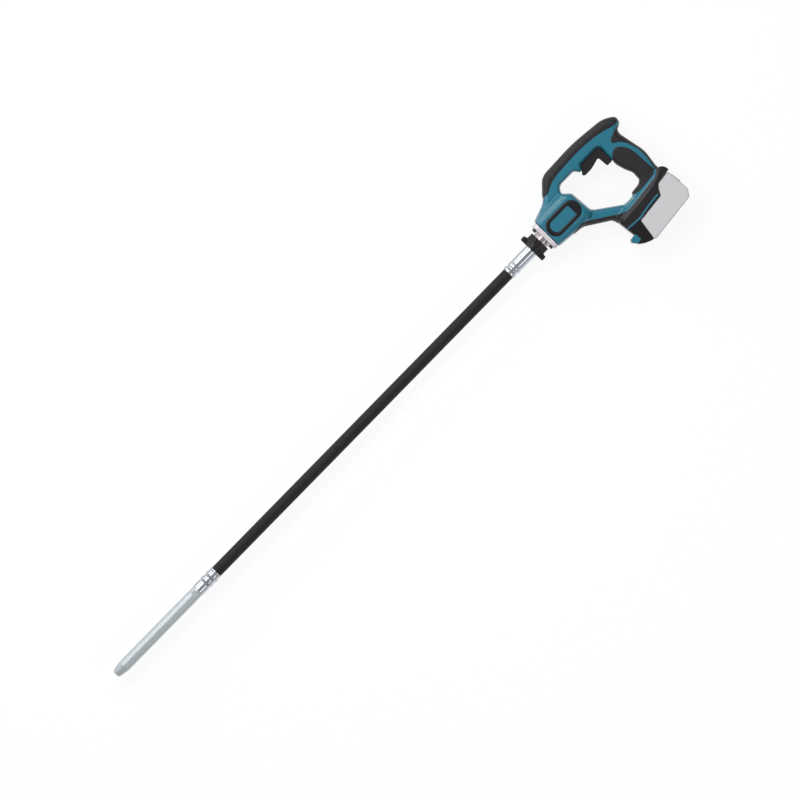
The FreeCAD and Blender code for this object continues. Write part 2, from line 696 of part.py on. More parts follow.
def grown(corners, distance):
    """Face of an outline moved outward, or inward with a negative distance."""
    return Part.Face(outline(corners)).makeOffset2D(distance)


def slab(face, half):
    """Extrude a flat face to the same height on both sides of the mid plane."""
    lowered = face.copy()
    lowered.translate(vec(0, 0, -half))
    return lowered.extrude(vec(0, 0, 2 * half))


def loop_solid(inset, half):
    """The loop handle with its outside and window moved in by the same inset."""
    outside = slab(grown(frame_corners(), -inset), half)
    return outside.cut(slab(grown(window_corners(), inset), half + 1))


def rounded_loop():
    outside = plate(frame_corners(), -ARM_HALF, ARM_HALF)
    outside = round_edges(outside, ARM_EDGE,
                          lambda edge: abs(abs(edge.CenterOfMass.z) - ARM_HALF) < 0.01)
    return outside.cut(plate(window_corners(), -ARM_HALF - 1, ARM_HALF + 1))


def barrel_block(inset):
    """Motor barrel: rounded square section with a rounded rear end."""
    half = BARREL_HALF - inset
    front = WALL if inset else 0
    block = box((front, BARREL_LENGTH - inset), (BARREL_BOTTOM + inset, BARREL_TOP - inset),
                (-half, half))
    block = round_edges(block, BARREL_CORNER - inset,
                        lambda edge: abs(edge.tangentAt(edge.FirstParameter).x) > 0.9)
    rear = BARREL_LENGTH - inset - 0.01
    return round_edges(block, BARREL_CORNER / 2 - inset,
                       lambda edge: edge.CenterOfMass.x > rear)


# ------------------------------------------------------- foot, in its own frame
def foot_core_corners():
    """Plastic core of the foot, seen from the side in the frame of the rail."""
    return [(SKIRT_FRONT + 4.5, 23, 8), (-58, FOOT_TOP, 10), (58, FOOT_TOP, 5),
            (FOOT_REAR - 3, 30, 4), (FOOT_REAR - 3, RAISED_TOP + 0.9, 1),
            (RAISED_FRONT, RAISED_TOP + 0.9, 3), (22, 8, 6), (12, RIM_BOTTOM, 4),
            (BATTERY_FRONT, RIM_BOTTOM, 1), (BATTERY_FRONT - 3.5, -20, 2),
            (SKIRT_FRONT + 4.5, -20, 4)]


def foot_cavity_corners():
    return [(SKIRT_FRONT + 7, 21.5, 6), (-57, FOOT_TOP - WALL, 8), (56, FOOT_TOP - WALL, 3),
            (FOOT_REAR - 5.5, 28, 3), (FOOT_REAR - 5.5, RAISED_TOP + 3.4, 0),
            (RAISED_FRONT + 1, RAISED_TOP + 3.4, 3), (21, FLOOR_TOP, 3),
            (BATTERY_FRONT - 4, FLOOR_TOP, 0), (BATTERY_FRONT - 6.5, -17.5, 2),
            (SKIRT_FRONT + 7, -17.5, 3)]


def band_corners():
    """Rubber band round the foot, with the front skirt that ends in a toe."""
    return [(SKIRT_FRONT, 25, 5), (-66, 25.5, 6), (-50, 24, 8), (40, 24, 6), (49, 33, 5),
            (59, 33, 5), (FOOT_REAR, 28, 5), (FOOT_REAR, RAISED_TOP + 0.9, 2),
            (RAISED_FRONT, RAISED_TOP + 0.9, 3), (22, 8, 6), (15, RIM_BOTTOM + RIM_DEPTH, 2),
            (BATTERY_FRONT, RIM_BOTTOM + RIM_DEPTH, 0), (BATTERY_FRONT, RIM_BOTTOM - 1, 1),
            (-63, -51, 3), (-79, -42, 20), (-90, -32, 3), (SKIRT_FRONT - 5, -24, 2),
            (SKIRT_FRONT, -14, 2)]


def hook_corners():
    return [(SKIRT_FRONT + 3.2, -14.4, 2), (SKIRT_FRONT - 12, -14.4, 4),
            (SKIRT_FRONT - 16, -20, 4), (SKIRT_FRONT - 8.5, -31.5, 4),
            (SKIRT_FRONT + 3.2, -30.5, 3)]


def foot_core():
    """Core with the rim under the band, before it is hollowed."""
    core = slab(Part.Face(outline(foot_core_corners())), FOOT_HALF - FOOT_SKIN)
    rim = slab(Part.Face(outline([(BATTERY_FRONT, RIM_BOTTOM, 0), (12.5, RIM_BOTTOM, 0),
                                  (15.5, RIM_BOTTOM + RIM_DEPTH, 0),
                                  (BATTERY_FRONT, RIM_BOTTOM + RIM_DEPTH, 0)])), FOOT_HALF)
    return fuse([core, rim])


def band_block():
    """Outside of the rubber band, before the core is taken out of it."""
    return slab(Part.Face(outline(band_corners())), FOOT_HALF)


def battery_channel():
    """Space under the foot for the tongue and the rails of the battery."""
    roof = CHANNEL_TOP
    neck_half = RAIL_NECK + SLIP
    rail_half = RAIL_HALF + SLIP
    rear = FOOT_REAR + 5
    return [box((BATTERY_FRONT + 0.5, rear), (RIM_BOTTOM - 1, roof), (-neck_half, neck_half)),
            box((BATTERY_FRONT + 0.5, rear), (RAIL_BOTTOM - SLIP, roof),
                (-rail_half, rail_half))]


def terminal_window():
    return box((-44, -18), (CHANNEL_TOP - 1, FLOOR_TOP + 1), (-17, 17))


# ================================================================ housing halves
def case_screw_places():
    """Case screws as (x, y, half depth of the housing there)."""
    barrel_screw_x = BARREL_LENGTH - 8.5
    places = [(60, 47, ARM_HALF), (112, 60, ARM_HALF), (233, 53, ARM_HALF),
              (90, -41.5, ARM_HALF), (130, -66, ARM_HALF),
              (barrel_screw_x, BARREL_TOP - 5.7, BARREL_HALF),
              (barrel_screw_x, BARREL_BOTTOM + 5.7, BARREL_HALF)]
    for along in (-45, 40):
        spot = tilted(Part.Vertex(along, 28, 0)).Point
        places.append((spot.x, spot.y, FOOT_HALF - FOOT_SKIN))
    return places


def case_screws():
    """Screws driven from the right side into the bosses of the left half."""
    screws = []
    for x, y, half in case_screw_places():
        seat = CASE_SCREW_SEAT - half
        head = pillar(x, y, seat - 2.6, seat, CASE_SCREW_HEAD)
        shank = pillar(x, y, seat - 1, CASE_SCREW_BITE, SCREW_SHANK)
        slot = [box((x - 2.2, x + 2.2), (y - 0.5, y + 0.5), (seat - 3, seat - 1.2)),
                box((x - 0.5, x + 0.5), (y - 2.2, y + 2.2), (seat - 3, seat - 1.2))]
        screws.append(fuse([head, shank]).cut(slot))
    return group(screws)


def screw_holes():
    holes = []
    for x, y, half in case_screw_places():
        seat = CASE_SCREW_SEAT - half
        holes.append(pillar(x, y, -half - 2, seat, CASE_SCREW_HEAD + AIR))
        holes.append(pillar(x, y, seat - 1, CASE_SCREW_BITE + 0.5, SCREW_SHANK + FIT))
    return holes


def trigger_slot():
    """Opening in the arm and the column for the trigger and its swing."""
    half = TRIGGER_HALF + 0.5
    lip = WINDOW_TOP - 12
    arm = plate([(138.8, lip, 0), (COLUMN_FRONT - 4, lip, 0), (COLUMN_FRONT - 4, 72, 0),
                 (131, 72, 0), (131, 54, 0), (143.6, WINDOW_TOP, 0)], -half, half)
    column = box((COLUMN_FRONT - 5, COLUMN_FRONT + 6.5), (8.8, 66), (-half, half))
    hub = pillar(PIVOT_X, PIVOT_Y, -half, half, 7)
    return [arm, column, hub]


def barrel_ribs():
    """Ribs that hold the motor and bosses for the flange screws."""
    outside = barrel_block(0)
    ribs = []
    for x in (MOTOR_START + 8, CAN_REAR - 12, CAN_REAR + 11):
        rib = box((x, x + RIB), (BARREL_BOTTOM, BARREL_TOP), (-BARREL_HALF, BARREL_HALF))
        ribs.append(rib.common(outside).cut(rod(x - 1, x + RIB + 1, MOTOR_RADIUS + FIT)))
    for y, z in flange_screw_places():
        ribs.append(Part.makeCylinder(5.0, FLANGE_SCREW_LENGTH - FLANGE_THICKNESS + 2,
                                      vec(0, y, z), X_AXIS))
    return ribs


def inner_bosses(whole):
    """Screw bosses, trigger pin bosses and switch ribs inside the loop."""
    bosses = [pillar(x, y, -half, half, BOSS_RADIUS) for x, y, half in case_screw_places()]
    bosses = [boss.common(whole) for boss in bosses]
    pin_boss = pillar(PIVOT_X, PIVOT_Y, TRIGGER_HALF + 0.6, CAVITY_HALF + 1, 4.5)
    switch_rib = box((SWITCH_START + 8, SWITCH_START + 11),
                     (PLUNGER_Y - SWITCH_HEIGHT / 2, PLUNGER_Y + SWITCH_HEIGHT / 2),
                     (SWITCH_HALF + FIT, CAVITY_HALF + 1))
    return bosses + on_both_sides(pin_boss) + on_both_sides(switch_rib)


def badge_outline():
    return [(BADGE_FRONT, BADGE_LOW, BADGE_RADIUS), (BADGE_REAR, BADGE_LOW, BADGE_RADIUS),
            (BADGE_REAR, BADGE_HIGH, BADGE_RADIUS), (BADGE_FRONT, BADGE_HIGH, BADGE_RADIUS)]


def badge_plate_outline():
    front = BADGE_FRONT + 1.5 * BADGE_MARGIN
    rear = BADGE_REAR - 3 * BADGE_MARGIN
    low = BADGE_LOW + BADGE_MARGIN + 2
    high = BADGE_HIGH - BADGE_MARGIN - 2
    return [(front, low, 12), (rear, low, 4), (rear, high, 4), (front, high, 12)]


def badge_rings():
    low = BARREL_HALF - BADGE_DEPTH
    ring = plate(badge_outline(), low, BARREL_HALF + 0.4)
    ring = ring.cut(plate(badge_plate_outline(), low - 1, BARREL_HALF + 1))
    return group(on_both_sides(ring))


def badge_plates():
    low = BARREL_HALF - BADGE_DEPTH
    return group(on_both_sides(plate(badge_plate_outline(), low, BARREL_HALF)))


def rubber_pieces():
    """The four rubber skins of the loop handle."""
    loop = rounded_loop()
    keep_out = [loop_solid(SKIN, ARM_HALF - SKIN), barrel_block(0), tilted(foot_core()),
                tilted(band_block())]
    regions = {"top_grip_rubber": top_grip_region(), "spine_rubber": spine_region(),
               "pistol_grip_rubber": finger_region(), "lower_arm_rubber": lower_arm_region()}
    skins = {}
    for name, corners in regions.items():
        area = plate(corners, -ARM_HALF - 1, ARM_HALF + 1)
        skins[name] = loop.common(area).cut(keep_out)
    return skins


def foot_band():
    """Rubber on both sides of the foot, joined by the skirt in front of it."""
    cuts = [foot_core()] + battery_channel()
    hook = slab(Part.Face(outline(hook_corners())), FOOT_HALF)
    return tilted(band_block().cut(cuts + [hook]))


def skirt_hook():
    """Plastic hook across the front skirt, as wide as the foot."""
    hook = slab(Part.Face(outline(hook_corners())), FOOT_HALF)
    return tilted(round_edges(hook, 1.5,
                              lambda edge: abs(abs(edge.CenterOfMass.z) - FOOT_HALF) < 0.01))


def housing(skins):
    """Both halves of the plastic housing, before they are split."""
    loop = rounded_loop().cut(list(skins.values()) + [tilted(band_block())])
    whole = fuse([barrel_block(0), loop, tilted(foot_core())])
    cavity = slab(Part.Face(outline(foot_cavity_corners())), FOOT_HALF - FOOT_SKIN - WALL)
    hollows = [barrel_block(WALL), loop_solid(SKIN + WALL, CAVITY_HALF), tilted(cavity)]
    shell = whole.cut(hollows)
    shell = fuse([fuse([shell] + barrel_ribs())] + inner_bosses(whole))
    pin = pillar(PIVOT_X, PIVOT_Y, -CAVITY_HALF - 0.5, CAVITY_HALF + 0.5, PIN_RADIUS + FIT)
    threads = [Part.makeCylinder(SCREW_SHANK + FIT, FLANGE_SCREW_LENGTH - FLANGE_THICKNESS,
                                 vec(-1, y, z), X_AXIS) for y, z in flange_screw_places()]
    badge = plate(badge_outline(), BARREL_HALF - BADGE_DEPTH, BARREL_HALF + 1)
    for cuts in (screw_holes(), trigger_slot(), [tilted(cut) for cut in battery_channel()],
                 tilted(terminal_window()), rod(-1, WALL + 1, NECK_RADIUS + FIT), pin,
                 threads, on_both_sides(badge)):
        shell = shell.cut(cuts)
    return shell


def housing_half(shell, side):
    """Half of the housing on the +Z (side 1) or the -Z (side -1) side."""
    far = 60
    height = (0, far) if side > 0 else (-far, 0)
    return shell.common(box((-20, 320), (-200, 140), height))


# ============================================================ trigger and switch
def trigger():
    """L-shaped trigger: long arm under the top grip, short arm on the column."""
    back = COLUMN_FRONT - AIR
    corners = [(135.5, 29.5, 3), (140, 27.4, 5), (157, 27.6, 20), (181.5, 33.8, 3),
               (183.3, 9.4, 3), (back, 9.4, 3), (back, 53, 5), (158, 54.5, 8), (146, 65, 2),
               (136.5, 60, 2), (144.5, 49, 2), (139.8, 38.5, 3), (135.2, 33, 2)]
    body = plate(corners, -TRIGGER_HALF, TRIGGER_HALF)
    body = round_edges(body, 1.5, lambda edge: abs(abs(edge.CenterOfMass.z) - TRIGGER_HALF) < 0.01
                       and edge.CenterOfMass.y < WINDOW_TOP - 2)
    hub = pillar(PIVOT_X, PIVOT_Y, -TRIGGER_HALF, TRIGGER_HALF, 5.5)
    hole = pillar(PIVOT_X, PIVOT_Y, -TRIGGER_HALF - 1, TRIGGER_HALF + 1, PIN_RADIUS + FIT)
    return fuse([body, hub]).cut(hole)


def trigger_pin():
    return pillar(PIVOT_X, PIVOT_Y, -CAVITY_HALF - 0.3, CAVITY_HALF + 0.3, PIN_RADIUS)


def trigger_spring():
    """Torsion spring round the left pin boss with a leg along the trigger."""
    low = TRIGGER_HALF + 0.65
    ring = coil(PIVOT_X, PIVOT_Y, low, 5.5, 0.6, 5.4, 4)
    leg = Part.makeCylinder(0.5, 19, vec(PIVOT_X - 1, PIVOT_Y - 5.5, low + 0.6), X_AXIS)
    return fuse([ring, leg])


def switch_body():
    body = box((SWITCH_START, SWITCH_START + SWITCH_LENGTH),
               (PLUNGER_Y - SWITCH_HEIGHT / 2, PLUNGER_Y + SWITCH_HEIGHT / 2),
               (-SWITCH_HALF, SWITCH_HALF))
    hole = Part.makeCylinder(PLUNGER_RADIUS + FIT, 13, vec(SWITCH_START, PLUNGER_Y), X_AXIS)
    seam = box((SWITCH_START - 1, SWITCH_START + SWITCH_LENGTH + 1),
               (PLUNGER_Y + SWITCH_HEIGHT / 2 - 6, PLUNGER_Y + SWITCH_HEIGHT / 2 - 5.4),
               (SWITCH_HALF - 0.4, SWITCH_HALF + 1))
    return body.cut([hole, seam])


def switch_plunger():
    start = COLUMN_FRONT + 0.05
    stem = Part.makeCylinder(PLUNGER_RADIUS, SWITCH_START + 7.5 - start,
                             vec(start, PLUNGER_Y), X_AXIS)
    return round_edges(stem, 0.8, lambda edge: edge.CenterOfMass.x < start + 0.1
                       and edge.Length > 2 * math.pi * PLUNGER_RADIUS * 0.9)


def wire_path(points, bend):
    """Wire of straight runs joined by tangent arcs of one bend radius."""
    edges = []
    start = points[0]
    for before, here, after in zip(points, points[1:], points[2:]):
        one = (before - here).normalize()
        two = (after - here).normalize()
        half = math.acos(max(-1.0, min(1.0, one.dot(two)))) / 2
        reach = bend / math.tan(half)
        middle = here + (one + two).normalize() * (bend / math.sin(half) - bend)
        edges.append(Part.LineSegment(start, here + one * reach).toShape())
        edges.append(Part.Arc(here + one * reach, middle, here + two * reach).toShape())
        start = here + two * reach
    edges.append(Part.LineSegment(start, points[-1]).toShape())
    return Part.Wire(edges)


def wire(points, bend, radius):
    path = wire_path(points, bend)
    direction = (points[1] - points[0]).normalize()
    circle = Part.Wire(Part.makeCircle(radius, points[0], direction))
    return path.makePipeShell([circle], True, False)


def battery_leads():
    """Two leads from the terminal block up the column to the switch."""
    leads = []
    for z in (-4.5, 4.5):
        top = vec(SWITCH_START + 14, PLUNGER_Y - SWITCH_HEIGHT / 2 - 0.1, z)
        start = tilted(Part.Vertex(-14, FLOOR_TOP + 5, z)).Point
        knee = tilted(Part.Vertex(14, FLOOR_TOP + 9, z)).Point
        leads.append(wire([start, knee, vec(SWITCH_START + 16, -40, z), top], 12, WIRE_RADIUS))
    return group(leads)


def motor_leads():
    """Two leads from the switch forward through the top arm to the motor."""
    leads = []
    for z in (-6.0, 6.0):
        start = vec(SWITCH_START + 12, PLUNGER_Y + SWITCH_HEIGHT / 2 + 0.1, z)
        points = [start, vec(SWITCH_START + 10, 68, z), vec(150, 76, z), vec(92, 70, z),
                  vec(CAN_REAR + 4, 46, z), vec(CAN_REAR + 5, MOTOR_RADIUS + 0.4, z)]
        leads.append(wire(points, 7, WIRE_RADIUS))
    return group(leads)


def terminal_block():
    """Block on the floor of the foot; its lip hangs through the floor window."""
    base = box((-46, -16), (FLOOR_TOP, FLOOR_TOP + 6), (-19, 19))
    lip = box((-43.5, -18.5), (CHANNEL_TOP - 0.2, FLOOR_TOP + 1), (-16.5, 16.5))
    body = fuse([base, lip])
    slots = [box((-40, -22), (CHANNEL_TOP - 1, FLOOR_TOP + 4), (z - 0.5, z + 0.5))
             for z in (-TERMINAL_Z, TERMINAL_Z)]
    return tilted(body.cut(slots))


def terminal_blades():
    blades = [box((-40, -22), (RAIL_TOP - 5, FLOOR_TOP + 4), (z - 0.45, z + 0.45))
              for z in (-TERMINAL_Z, TERMINAL_Z)]
    return tilted(group(blades))


# ====================================================================== battery
def battery_side_corners(inset):
    """Side outline of the battery below its seam and up the raised rear."""
    return [(BATTERY_FRONT + 0.8 + inset, RIM_BOTTOM - 0.5 - inset, 1.5),
            (13, RIM_BOTTOM - 0.5 - inset, 4), (22, 6 - inset, 6),
            (RAISED_FRONT + 1, RAISED_TOP - inset, 3),
            (BATTERY_REAR - inset, RAISED_TOP - inset, 4),
            (BATTERY_REAR - 1.5 - inset, -40, 8), (BATTERY_REAR - 12.5, BATTERY_BOTTOM + inset, 5),
            (-57, BATTERY_BOTTOM + inset, 4), (-62.3 + inset, -50, 3)]


def battery_block(inset):
    solid = slab(Part.Face(outline(battery_side_corners(inset))), BATTERY_HALF - inset)
    if inset:
        return solid
    return round_edges(solid, 3.0, lambda edge: abs(abs(edge.CenterOfMass.z) - BATTERY_HALF) < 0.01
                       and edge.CenterOfMass.y < BATTERY_SEAM)


def tongue():
    """Tongue and T rails that slide in the channel of the foot."""
    neck_part = box((BATTERY_FRONT + 1, TONGUE_REAR + 10), (RIM_BOTTOM - 1, RAIL_TOP),
                    (-RAIL_NECK, RAIL_NECK))
    rails = box((BATTERY_FRONT + 1, TONGUE_REAR), (RAIL_BOTTOM, RAIL_TOP),
                (-RAIL_HALF, RAIL_HALF))
    return [neck_part, rails]


def blade_slots():
    """Slots for the blades, each with a well that its contact stands in."""
    slots = []
    for z in (-TERMINAL_Z, TERMINAL_Z):
        slots.append(box((BATTERY_FRONT, -17), (RAIL_BOTTOM - 1, RAIL_TOP + 1),
                         (z - 1.2, z + 1.2)))
        slots.append(box((-39, -23), (-12, RAIL_TOP + 1), (z - 1.7, z + 1.7)))
    return slots


def button_space():
    """Room for the release button, its bar, latch and spring, with their travel."""
    drop = BUTTON_TRAVEL + AIR
    return [box((BATTERY_REAR - 7, BATTERY_REAR + 5), (-20 - drop, 4), (-13.3, 13.3)),
            box((12, BATTERY_REAR - 6), (0.4 - drop, 4.3), (-8.3, 8.3)),
            box((13.7, 19.3), (0, RAISED_TOP), (-8.3, 8.3)),
            upright(LATCH_SPRING_X, 0, -15, 0.5, LATCH_SPRING_RADIUS + 1)]


def battery_upper_case():
    """Upper case with the tongue and the raised rear end."""
    block = fuse([battery_block(0)] + tongue())
    top = block.common(box((-80, 80), (BATTERY_SEAM, 40), (-60, 60)))
    inside = battery_block(BATTERY_WALL)
    ceiling = RIM_BOTTOM - 0.5 - BATTERY_WALL
    hollow = inside.common(box((-80, 80), (-70, ceiling), (-60, 60)))
    return tilted(top.cut([hollow] + blade_slots() + button_space()))


def battery_lower_case():
    block = battery_block(0).common(box((-80, 80), (-70, BATTERY_SEAM), (-60, 60)))
    shell = block.cut([battery_block(BATTERY_WALL)])
    bosses = [upright(x, z, BATTERY_BOTTOM + 1, BATTERY_SEAM, 4)
              for x, z, seat in battery_screw_places()]
    shell = fuse([shell] + [boss.common(block) for boss in bosses])
    for x, z, seat in battery_screw_places():
        low = BATTERY_BOTTOM + seat
        shell = shell.cut([upright(x, z, BATTERY_BOTTOM - 1, low, 2.4),
                           upright(x, z, low - 1, low + 13, 1.2 + FIT)])
    return tilted(shell.cut(button_space()))


def upright(x, z, low, high, radius):
    """Rod across the battery, along the local Y axis."""
    return Part.makeCylinder(radius, high - low, vec(x, low, z), Y_AXIS)


def battery_screw_places():
    """Battery screws as (x, z, height of the seat above the bottom)."""
    return [(x, z, seat) for x, seat in ((-53.5, 4), (51.5, 11))
            for z in (4.5 - BATTERY_HALF, BATTERY_HALF - 4.5)]


def battery_screws():
    screws = []
    for x, z, seat in battery_screw_places():
        low = BATTERY_BOTTOM + seat
        head = upright(x, z, low - 2, low, 2.2)
        shank = upright(x, z, low - 1, low + 12, 1.2)
        slot = box((x - 1.5, x + 1.5), (low - 3, low - 1.2), (z - 0.4, z + 0.4))
        screws.append(fuse([head, shank]).cut(slot))
    return tilted(group(screws))


def cell_places():
    first = -(CELLS_IN_ROW - 1) * CELL_PITCH / 2 - 1.5
    rows = (BATTERY_BOTTOM + BATTERY_WALL + 0.5 + CELL_RADIUS + 0.7,
            BATTERY_BOTTOM + BATTERY_WALL + 0.5 + CELL_RADIUS + 0.7 + CELL_PITCH)
    return [(first + k * CELL_PITCH, y) for y in rows for k in range(CELLS_IN_ROW)]


def cells():
    half = CELL_LENGTH / 2
    return tilted(group([pillar(x, y, -half, half, CELL_RADIUS) for x, y in cell_places()]))


def cell_holder():
    """Two plastic end plates that carry the cells, joined by a floor strip."""
    xs = [x for x, y in cell_places()]
    ys = [y for x, y in cell_places()]
    reach = CELL_RADIUS + 0.5
    half = CELL_LENGTH / 2
    area = ((min(xs) - reach, max(xs) + reach), (min(ys) - reach, max(ys) + reach))
    ends = on_both_sides(box(area[0], area[1], (half - 14, half + 1)))
    strip = box(area[0], (min(ys) - reach - 0.6, min(ys) - reach + 0.2), (-half, half))
    holes = [pillar(x, y, -half - FIT, half + FIT, CELL_RADIUS + FIT) for x, y in cell_places()]
    return tilted(fuse(ends + [strip]).cut(holes))


def battery_board():
    """Circuit board on the cell holder."""
    top = max(y for x, y in cell_places()) + CELL_RADIUS + 0.5
    return tilted(box((-44, 8), (top, top + 1.6), (-25, 25)))


def battery_contacts():
    """Spring contacts on the board that grip the blades of the foot."""
    top = max(y for x, y in cell_places()) + CELL_RADIUS + 0.5 + 1.6
    clips = []
    for z in (-TERMINAL_Z, TERMINAL_Z):
        foot = box((-38, -24), (top, top + 0.8), (z - 1.4, z + 1.4))
        leaf = box((-38, -24), (top, RAIL_TOP - 1), (z + 0.8, z + 1.4))
        other = box((-38, -24), (top, RAIL_TOP - 1), (z - 1.4, z - 0.8))
        clips.append(fuse([foot, leaf, other]))
    return tilted(group(clips))


def release_button():
    """Rear button with a bar to the latch that sits in front of the raised end."""
    pad = box((BATTERY_REAR - 6, BATTERY_REAR + 1.5), (-20, 3), (-13, 13))
    pad = round_edges(pad, 1.2, lambda edge: edge.CenterOfMass.x > BATTERY_REAR + 1.4)
    bar = box((14, BATTERY_REAR - 5), (0.5, 4), (-8, 8))
    latch = box((14, 19), (3, RAIL_TOP), (-8, 8))
    grips = [box((BATTERY_REAR + 1, BATTERY_REAR + 2), (y, y + 1), (-9, 9))
             for y in (-15, -12, -9, -6)]
    return tilted(fuse([pad, bar, latch]).cut(grips))


def latch_spring():
    """Spring under the latch bar; it rides with the button."""
    length = 4.9
    spring = coil(0, 0, 0.3 - length, LATCH_SPRING_RADIUS, 0.5, length, 4)
    spring.rotate(vec(0, 0), X_AXIS, -90)
    spring.translate(vec(LATCH_SPRING_X, 0, 0))
    return tilted(spring)


# ============================================================== every sub-part
def build():
    """All nodes by name, in the frame of the shaft."""
    skins = rubber_pieces()
    shell = housing(skins)
    nodes = {
        "housing_left": housing_half(shell, 1), "housing_right": housing_half(shell, -1),
        "badge_rings": badge_rings(), "badge_plates": badge_plates(),
        "foot_band": foot_band(), "skirt_hook": skirt_hook(), "case_screws": case_screws(),
        "front_flange": front_flange(), "flange_screws": flange_screws(), "neck": neck(),
        "front_bearing": front_bearing(), "bearing_clip": bearing_clip(),
        "wing_nut": wing_nut(), "upper_ferrule": upper_ferrule(), "hose": hose(),
        "hose_liner": hose_liner(), "lower_ferrule": lower_ferrule(),
        "flexible_core": flexible_core(), "core_sleeves": core_sleeves(),
        "head_coupling": head_coupling(), "head_tube": head_tube(), "nose_cap": nose_cap(),
        "head_bearings": head_bearings(),
        "oil_seal": oil_seal(), "eccentric_rotor": eccentric_rotor(),
        "armature_shaft": armature_shaft(), "drive_socket": drive_socket(),
        "cooling_fan": cooling_fan(), "motor_can": motor_can(), "magnets": magnets(),
        "armature_core": armature_core(), "windings": windings(), "commutator": commutator(),
        "motor_end_cap": motor_end_cap(), "rear_bearing": rear_bearing(),
        "brush_holders": brush_holders(), "brushes": brushes(),
        "brush_springs": brush_springs(), "trigger": trigger(), "trigger_pin": trigger_pin(),
        "trigger_spring": trigger_spring(), "switch_body": switch_body(),
        "switch_plunger": switch_plunger(), "battery_leads": battery_leads(),
        "motor_leads": motor_leads(), "terminal_block": terminal_block(),
        "terminal_blades": terminal_blades(), "battery_upper_case": battery_upper_case(),
        "battery_lower_case": battery_lower_case(), "battery_screws": battery_screws(),
        "battery_cells": cells(), "cell_holder": cell_holder(),
        "battery_board": battery_board(), "battery_contacts": battery_contacts(),
        "release_button": release_button(), "latch_spring": latch_spring(),
    }
    nodes.update(skins)
    return nodes


def origin_shift(nodes):
    """Move that puts the middle of the base of the whole tool at the origin."""
    bounds = Part.makeCompound(list(nodes.values())).optimalBoundingBox(False, False)
    return vec(-(bounds.XMin + bounds.XMax) / 2, -(bounds.YMin + bounds.YMax) / 2, -bounds.ZMin)


def main():
    os.makedirs("parts", exist_ok=True)
    nodes = build()
    shift = origin_shift(nodes)
    print("moved by", tuple(shift))
    for name, shape in nodes.items():
        shape.translate(shift)
        shape.exportStep("parts/" + name + ".step")
        print(name, len(shape.Solids), round(shape.Volume, 1), shape.isValid())


main()
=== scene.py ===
import math

import bmesh
import bpy
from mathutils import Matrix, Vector
import numpy as np


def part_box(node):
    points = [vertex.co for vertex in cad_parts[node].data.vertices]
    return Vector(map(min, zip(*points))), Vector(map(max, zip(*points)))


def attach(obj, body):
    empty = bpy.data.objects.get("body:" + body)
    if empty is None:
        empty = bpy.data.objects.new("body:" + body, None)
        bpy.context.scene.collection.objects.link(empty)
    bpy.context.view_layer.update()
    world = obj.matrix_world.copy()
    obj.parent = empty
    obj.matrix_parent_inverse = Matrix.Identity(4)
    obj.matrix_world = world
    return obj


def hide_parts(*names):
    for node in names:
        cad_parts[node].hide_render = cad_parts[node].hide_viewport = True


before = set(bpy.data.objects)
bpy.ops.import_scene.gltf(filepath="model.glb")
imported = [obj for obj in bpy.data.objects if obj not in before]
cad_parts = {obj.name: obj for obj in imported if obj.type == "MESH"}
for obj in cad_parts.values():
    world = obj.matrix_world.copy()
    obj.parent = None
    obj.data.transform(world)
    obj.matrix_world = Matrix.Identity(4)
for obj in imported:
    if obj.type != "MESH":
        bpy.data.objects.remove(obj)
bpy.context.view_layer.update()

# Looks of a cordless concrete vibrator lying on its side, built round its CAD frame.
#
# Shapes are worked out in millimetres in the frame of the shaft: x runs along the shaft
# towards the handle with x = 0 on the front face of the housing, the x axis is the spin
# axis, y points to the top grip and z out of the plane of the handle.

bl_info = {
    "name": "Concrete vibrator",
    "version": (1, 0, 0),
    "blender": (4, 5, 0),
    "location": "View3D > Sidebar > Vibrator",
    "description": "Builds the housing, grips, hose, ferrules and stage of a concrete vibrator",
    "category": "Object",
}

TOOL = "tool"
FLANGE_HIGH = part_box("front_flange")[1]
TUBE_LOW, TUBE_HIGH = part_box("head_tube")
AXIS = np.array([FLANGE_HIGH.x, (TUBE_LOW.y + TUBE_HIGH.y) / 2, (TUBE_LOW.z + TUBE_HIGH.z) / 2])
FOOT_AT = np.array([200.0, -103.0])     # where the foot's own frame starts
FOOT_TILT = math.radians(6.0)           # slope of the foot, and of the battery's rail
FOOT_BLOCK = (-7.0, 66.0, 25.0)         # middle, half length and top of the foot, in its frame

# ------ heights above the middle plane, in mm
SHOULDER_FOOT = 27.5                    # where the barrel's shoulder starts to rise
FLARE = 12.0                            # how much thicker the arms get at the foot
ARM_RIM, BARREL_RIM = 12.0, 5.5         # width of the rounded outer edge
WINDOW_RIM, BARREL_WINDOW_RIM = 9.0, 7.0
CORE_HALF, BAND_HALF, STRIPE_HALF, HOOK_HALF = 37.5, 39.5, 39.9, 40.0
BAND_SLOPE = (8.2, 4.8)                 # width and height of the slope on the band's upper edge
RING_FOOT, RING_TOP = 34.2, 36.2

# ------ stage, in metres
VIEW_WIDTH, CAMERA_HEIGHT = 1.6, 20.0
VIEW_MIDDLE = (0.04184, 0.0142, 0.04)
VIEW_TURN = math.radians(-45.6)
# Each lamp with its place, width, height and power.
LAMPS = [("key", (0.1, 1.36, 2.1), 2.6, 1.0, 32.0), ("fill", (0.1, -1.77, 1.77), 2.4, 0.8, 11.0),
         ("side", (0.1, 2.35, 0.86), 2.4, 0.6, 15.0)]

